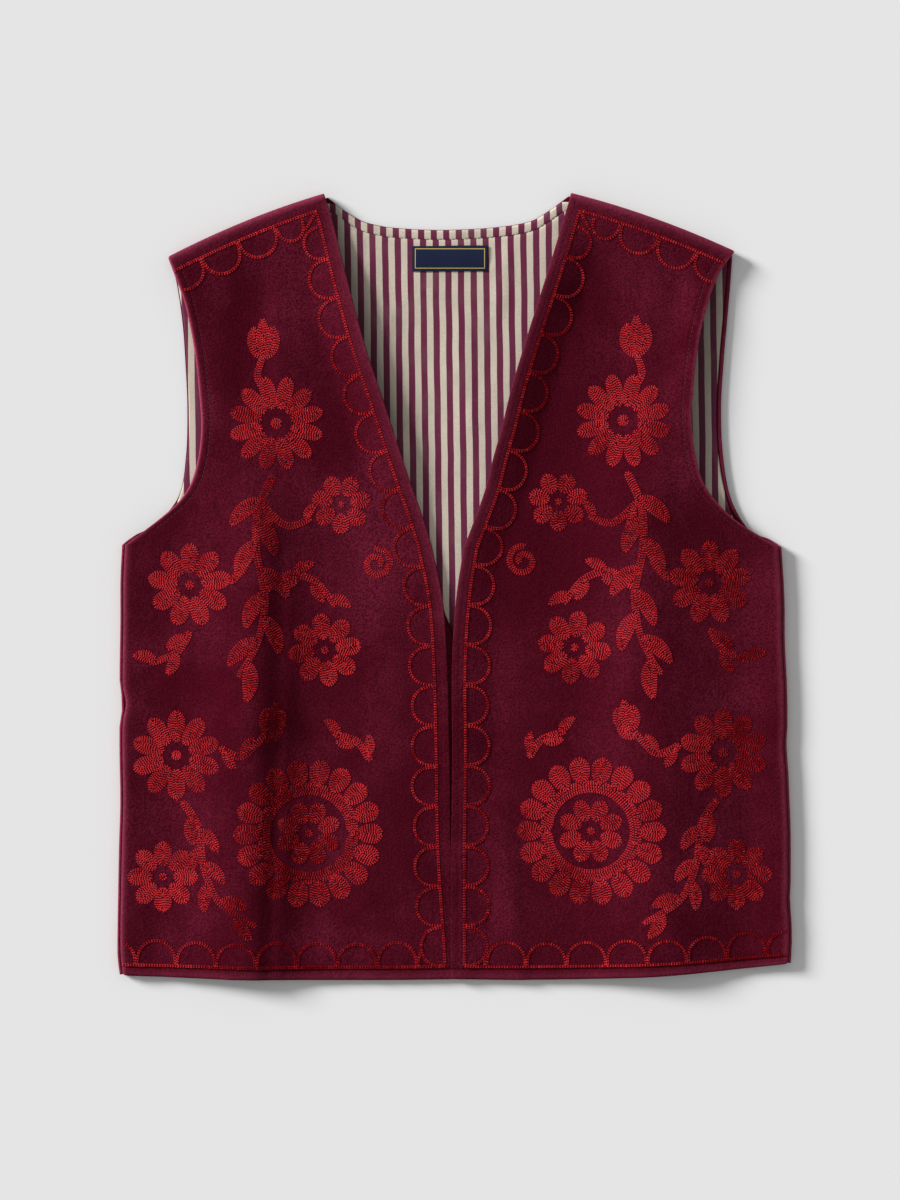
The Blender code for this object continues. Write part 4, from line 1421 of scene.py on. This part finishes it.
def layStitches(name, surface, spots, ways, tones, tonePatches, size=1.0):
    # joined mesh of one chain link for each place, lying on the cloth
    places, alongs, normals, shades = [], [], [], []
    for spot, way, tone in zip(spots, ways, tones):
        found = onCloth(surface, spot, way, stitch["steepest"])
        if found is None:
            continue
        for known, part in zip((places, alongs, normals), found):
            known.append(part[:])
        # painted shade and light on the thread, from the ovals over its front
        shades.append(tone + paintedLightAndBrushedPile(tonePatches, spot[0], spot[1]))
    places, alongs, normals = np.array(places), np.array(alongs), np.array(normals)
    count = len(places)
    turn = chance.normal(0.0, math.radians(3.0), count)[:, None]
    across = np.cross(normals, alongs)
    alongs, across = (alongs * np.cos(turn) + across * np.sin(turn),
                      across * np.cos(turn) - alongs * np.sin(turn))
    scale = size * chance.normal(1.0, 0.05, count)[:, None, None] * mm
    lift = (stitch["lift"] + chance.normal(0.0, 0.06, count))[:, None] * size * mm
    form = linkVerts[None, :, :] * scale
    points = (places[:, None, :] + form[..., 0:1] * alongs[:, None, :]
              + form[..., 1:2] * across[:, None, :] + form[..., 2:3] * normals[:, None, :]
              + (lift * normals)[:, None, :])
    faces = linkFaces[None, :, :] + (np.arange(count) * len(linkVerts))[:, None, None]
    mesh = bpy.data.meshes.new(name)
    mesh.vertices.add(count * len(linkVerts))
    mesh.vertices.foreach_set("co", points.reshape(-1))
    total = faces.size
    mesh.loops.add(total)
    mesh.loops.foreach_set("vertex_index", faces.reshape(-1).astype(np.int32))
    mesh.polygons.add(total // 3)
    mesh.polygons.foreach_set("loop_start", np.arange(0, total, 3, dtype=np.int32))
    mesh.update(calc_edges=True)
    tone = mesh.attributes.new("threadToneAndPaintedLight", "FLOAT", "POINT")
    shades = np.array(shades) + chance.normal(0.0, 0.10, count)
    # painted highlight on each strand's top and painted shade towards its ends
    paintedTopLight = linkVerts[:, 2] / linkVerts[:, 2].max() - 0.45
    perVert = shades[:, None] + stitch["paintedTopLight"] * paintedTopLight[None, :]
    tone.data.foreach_set("value", perVert.reshape(-1).astype(np.float32))
    piece = finishPiece(name, mesh, thread, slot="velvet")
    print(name, count, "stitches,", total // 3, "triangles")
    return piece


# The scalloped border: a line of single chain stitches with scallops hanging off it.
border = {
    "fromFrontEdge": 9.8,
    "fromShoulder": 12.2,
    "fromHem": 11.6,
    "pitch": 29.8,
    "depth": 17.6,
    "stub": 1.8,
    "stitchPitch": 1.95,
    "size": 1.34,
    "tone": 0.17,
}
# Where the first scallops of the front edge and shoulder begin and the regular ones follow.
cornerReach, edgeStart, shoulderStart = 12.0, 36.0, 32.8


def borderLines(sections, nicks):
    # three lines in plan: shoulder, front edge and hem, the first two from the neck's corner
    topPlace = border["fromShoulder"] / cloth["yokeDepth"]
    lowPlace = hem - border["fromHem"] / hemSpan
    inset = border["fromFrontEdge"]
    edge = []
    for step in range(161):
        value = frontEdges(sections, nicks, mix(topPlace, lowPlace, step / 160))
        edge.append(frontPlan(value, value["width"] - inset))
    lines = []
    for place in (topPlace, lowPlace):
        value = frontEdges(sections, nicks, place)
        reach = value["width"] - inset
        lines.append(np.array([frontPlan(value, reach * (1 - step / 80)) for step in range(81)]))
    return lines[0], np.array(edge), lines[1]


def besideLine(line, inward, along, depth):
    # path at given distances along a line and in from it
    travelled = travelledAlong(line)
    spot = pointsAt(line, travelled, along)
    normal = pointsAt(lineNormals(line) * inward, travelled, along)
    return spot + normal * np.asarray(depth)[:, None]


def firstScallop(line, inward, end):
    # the scallop between the corner's slanting stub and the regular ones
    turn = np.linspace(0, math.pi, 34)
    middle, half = (cornerReach + end) / 2, (end - cornerReach) / 2
    depth = mix(border["stub"], border["depth"] - 2.4, np.sin(turn) ** 0.80)
    return besideLine(line, inward, middle - half * np.cos(turn), depth)


def scallops(line, inward, start, pitch):
    length = np.linalg.norm(np.diff(line, axis=0), axis=1).sum()
    paths = []
    turn = np.linspace(0, math.pi, 34)
    for number in range(int(math.ceil((length - start) / pitch - 0.02))):
        middle, half = start + (number + 0.5) * pitch, pitch / 2 - 0.8
        depth = border["stub"] + (border["depth"] - border["stub"]) * np.sin(turn) ** 0.80
        depth = np.concatenate([[0.5], depth * (1 + 0.04 * math.sin(number * 2.1)), [0.5]])
        along = middle - half * np.cos(turn)
        along = np.concatenate([along[:1], along, along[-1:]])
        keep = (along < length) & (along >= 0)
        if keep.sum() >= 3:
            paths.append(besideLine(line, inward, along[keep], depth[keep]))
    return paths


def insidePolygon(spots, polygon):
    # crossing test in plan
    inside = np.zeros(len(spots), bool)
    x, y = spots[:, 0], spots[:, 1]
    for (startX, startY), (endX, endY) in zip(polygon, np.roll(polygon, -1, axis=0)):
        if startY == endY:
            continue
        crosses = ((startY > y) != (endY > y))
        crosses &= x < (endX - startX) * (y - startY) / (endY - startY) + startX
        inside ^= crosses
    return inside


def makeBorder(name, sections, nicks, surface, side, hemStart, tonePatches):
    shoulder, edge, low = borderLines(sections, nicks)
    edgeLength = np.linalg.norm(np.diff(edge, axis=0), axis=1).sum() - edgeStart
    pitch = edgeLength / round(edgeLength / border["pitch"])
    topArcs = [firstScallop(shoulder, -side, shoulderStart - 0.8)]
    topArcs += scallops(shoulder, -side, shoulderStart, border["pitch"])
    edgeArcs = [firstScallop(edge, side, edgeStart - 0.8)]
    edgeArcs += scallops(edge, side, edgeStart, pitch)
    slant = np.linspace(0.0, cornerReach, 12)
    topArcs.append(besideLine(edge, side, slant, slant))
    lowArcs = scallops(low, side, hemStart - border["pitch"], border["pitch"])
    paths = [(path, None) for path in [shoulder, edge, low] + topArcs + edgeArcs]
    paths += [(path, edgeArcs[-1]) for path in lowArcs]
    spots, ways = [], []
    for path, blocker in paths:
        found, way = stitchesAlong(path, border["stitchPitch"])
        if blocker is not None:            # the hem's scallop stops where it meets the edge's
            keep = ~insidePolygon(found, blocker)
            found, way = found[keep], way[keep]
        spots.append(found)
        ways.append(way)
    spots, ways = np.concatenate(spots), np.concatenate(ways)
    return layStitches(name, surface, spots, ways, np.full(len(spots), border["tone"]), tonePatches,
                       size=border["size"])


def makeEmbroidery():
    made = {}
    for side, surface, sections, nicks, hemStart in (
            ("right", rightSurface, rightSections, rightNicks, 20.6),
            ("left", leftSurface, leftSections, leftNicks, 16.0)):
        isLeft = side == "left"
        tonePatches = threadShadePatches[side]
        high = layStitches(side + "HighEmbroidery", surface,
                           *sewStrokes(highMotifs(), isLeft), tonePatches)
        low = layStitches(side + "LowEmbroidery", surface,
                          *sewStrokes(lowMotifs(), isLeft), tonePatches)
        trim = makeBorder(side + "ScallopBorder", sections, nicks, surface,
                          1.0 if isLeft else -1.0, hemStart, tonePatches)
        made[side] = [high, low, trim]
    return made


embroidery = makeEmbroidery()

# Topstitching in dark sewing thread.
topstitch = {"length": 2.7, "pitch": 3.2, "width": 0.50, "lift": 0.06, "steepest": 0.5}


def makeTopstitching(name, surface, paths, slot):
    form = bmesh.new()
    bmesh.ops.create_uvsphere(form, u_segments=6, v_segments=4, radius=0.5)
    turnShape(form, form.verts, 90, "Y")
    bmesh.ops.scale(form, vec=(topstitch["length"], topstitch["width"], topstitch["width"]),
                    verts=form.verts)
    bmesh.ops.triangulate(form, faces=form.faces)
    whole = bmesh.new()
    scratch = bpy.data.meshes.new("oneStitch")
    for path in paths:
        spots, ways = stitchesAlong(np.array(path), topstitch["pitch"])
        for spot, way in zip(spots, ways):
            found = onCloth(surface, spot, way, topstitch["steepest"])
            if found is None:
                continue
            hit, along, normal = found
            across = normal.cross(along)
            place = Matrix((along, across, normal)).transposed().to_4x4()
            place.translation = hit + normal * topstitch["lift"] * mm
            form.to_mesh(scratch)
            scratch.transform(Matrix.Scale(mm, 4))
            scratch.transform(place)
            whole.from_mesh(scratch)
    mesh = meshFrom(name, whole)
    form.free()
    bpy.data.meshes.remove(scratch)
    mesh.shade_smooth()
    return finishPiece(name, mesh, sewingThread, slot=slot)


def armholePath(sections, nicks):
    path = []
    for step in range(100):
        value = frontEdges(sections, nicks, mix(0.3, underarm - 0.5, step / 99))
        path.append(frontPlan(value, seams["armholeStitchFrom"]))
    return path


rightTopstitching = makeTopstitching("rightTopstitching", rightSurface,
                                     [armholePath(rightSections, rightNicks)], "velvet")
leftTopstitching = makeTopstitching("leftTopstitching", leftSurface,
                                    [armholePath(leftSections, leftNicks)], "velvet")
neckLine = [(x, neckHeight(x) - backLook["neckStitchFrom"] - 0.6) for x in range(-84, 78, 2)]
neckTopstitching = makeTopstitching("neckTopstitching", liningSurface, [neckLine],
                                    "striped_lining")
print("stitching ready")

studio = {
    "floorColour": (0.80, 0.80, 0.80, 1.0),
    "sunFrom": (-0.8315, 0.4158, 0.3697),
    "sunStrength": 4.98,
    "sunAngle": 17.0,          # degrees across, for soft shadows
    "skyStrength": 0.395,
}


def makeStage():
    plane = bmesh.new()
    bmesh.ops.create_grid(plane, x_segments=1, y_segments=1, size=6.0)
    mesh = meshFrom("floor", plane)
    floor = placeObject("floor", mesh)
    paper = bpy.data.materials.new("paperFloor")
    paper.use_nodes = True
    shader = paper.node_tree.nodes["Principled BSDF"]
    shader.inputs["Base Color"].default_value = studio["floorColour"]
    shader.inputs["Roughness"].default_value = 0.95
    shader.inputs["Specular IOR Level"].default_value = 0.0
    mesh.materials.append(paper)
    key = placeObject("keyLight", bpy.data.lights.new("keyLight", "SUN"))
    key.data.energy = studio["sunStrength"]
    key.data.angle = math.radians(studio["sunAngle"])
    key.location = Vector(studio["sunFrom"]) * 2.0
    key.rotation_euler = Vector(studio["sunFrom"]).to_track_quat("Z", "Y").to_euler()
    world = bpy.data.worlds.new("softRoom")
    world.use_nodes = True
    world.node_tree.nodes["Background"].inputs["Color"].default_value = (1.0, 1.0, 1.0, 1.0)
    world.node_tree.nodes["Background"].inputs["Strength"].default_value = studio["skyStrength"]
    bpy.context.scene.world = world


makeStage()

view = {"lens": 90.0, "frameHeight": 889.0, "centreX": -3.4, "centreY": -8.9, "planeHeight": 8.0}
lens = bpy.data.cameras.new("camera")
lens.lens = view["lens"]
lens.sensor_width = 36.0
camera = placeObject("camera", lens)
distance = view["frameHeight"] * view["lens"] / 36.0 + view["planeHeight"]
camera.location = Vector((view["centreX"], view["centreY"], distance)) * mm
bpy.context.scene.camera = camera
bpy.context.scene.view_settings.view_transform = "Standard"
print("camera and light ready")
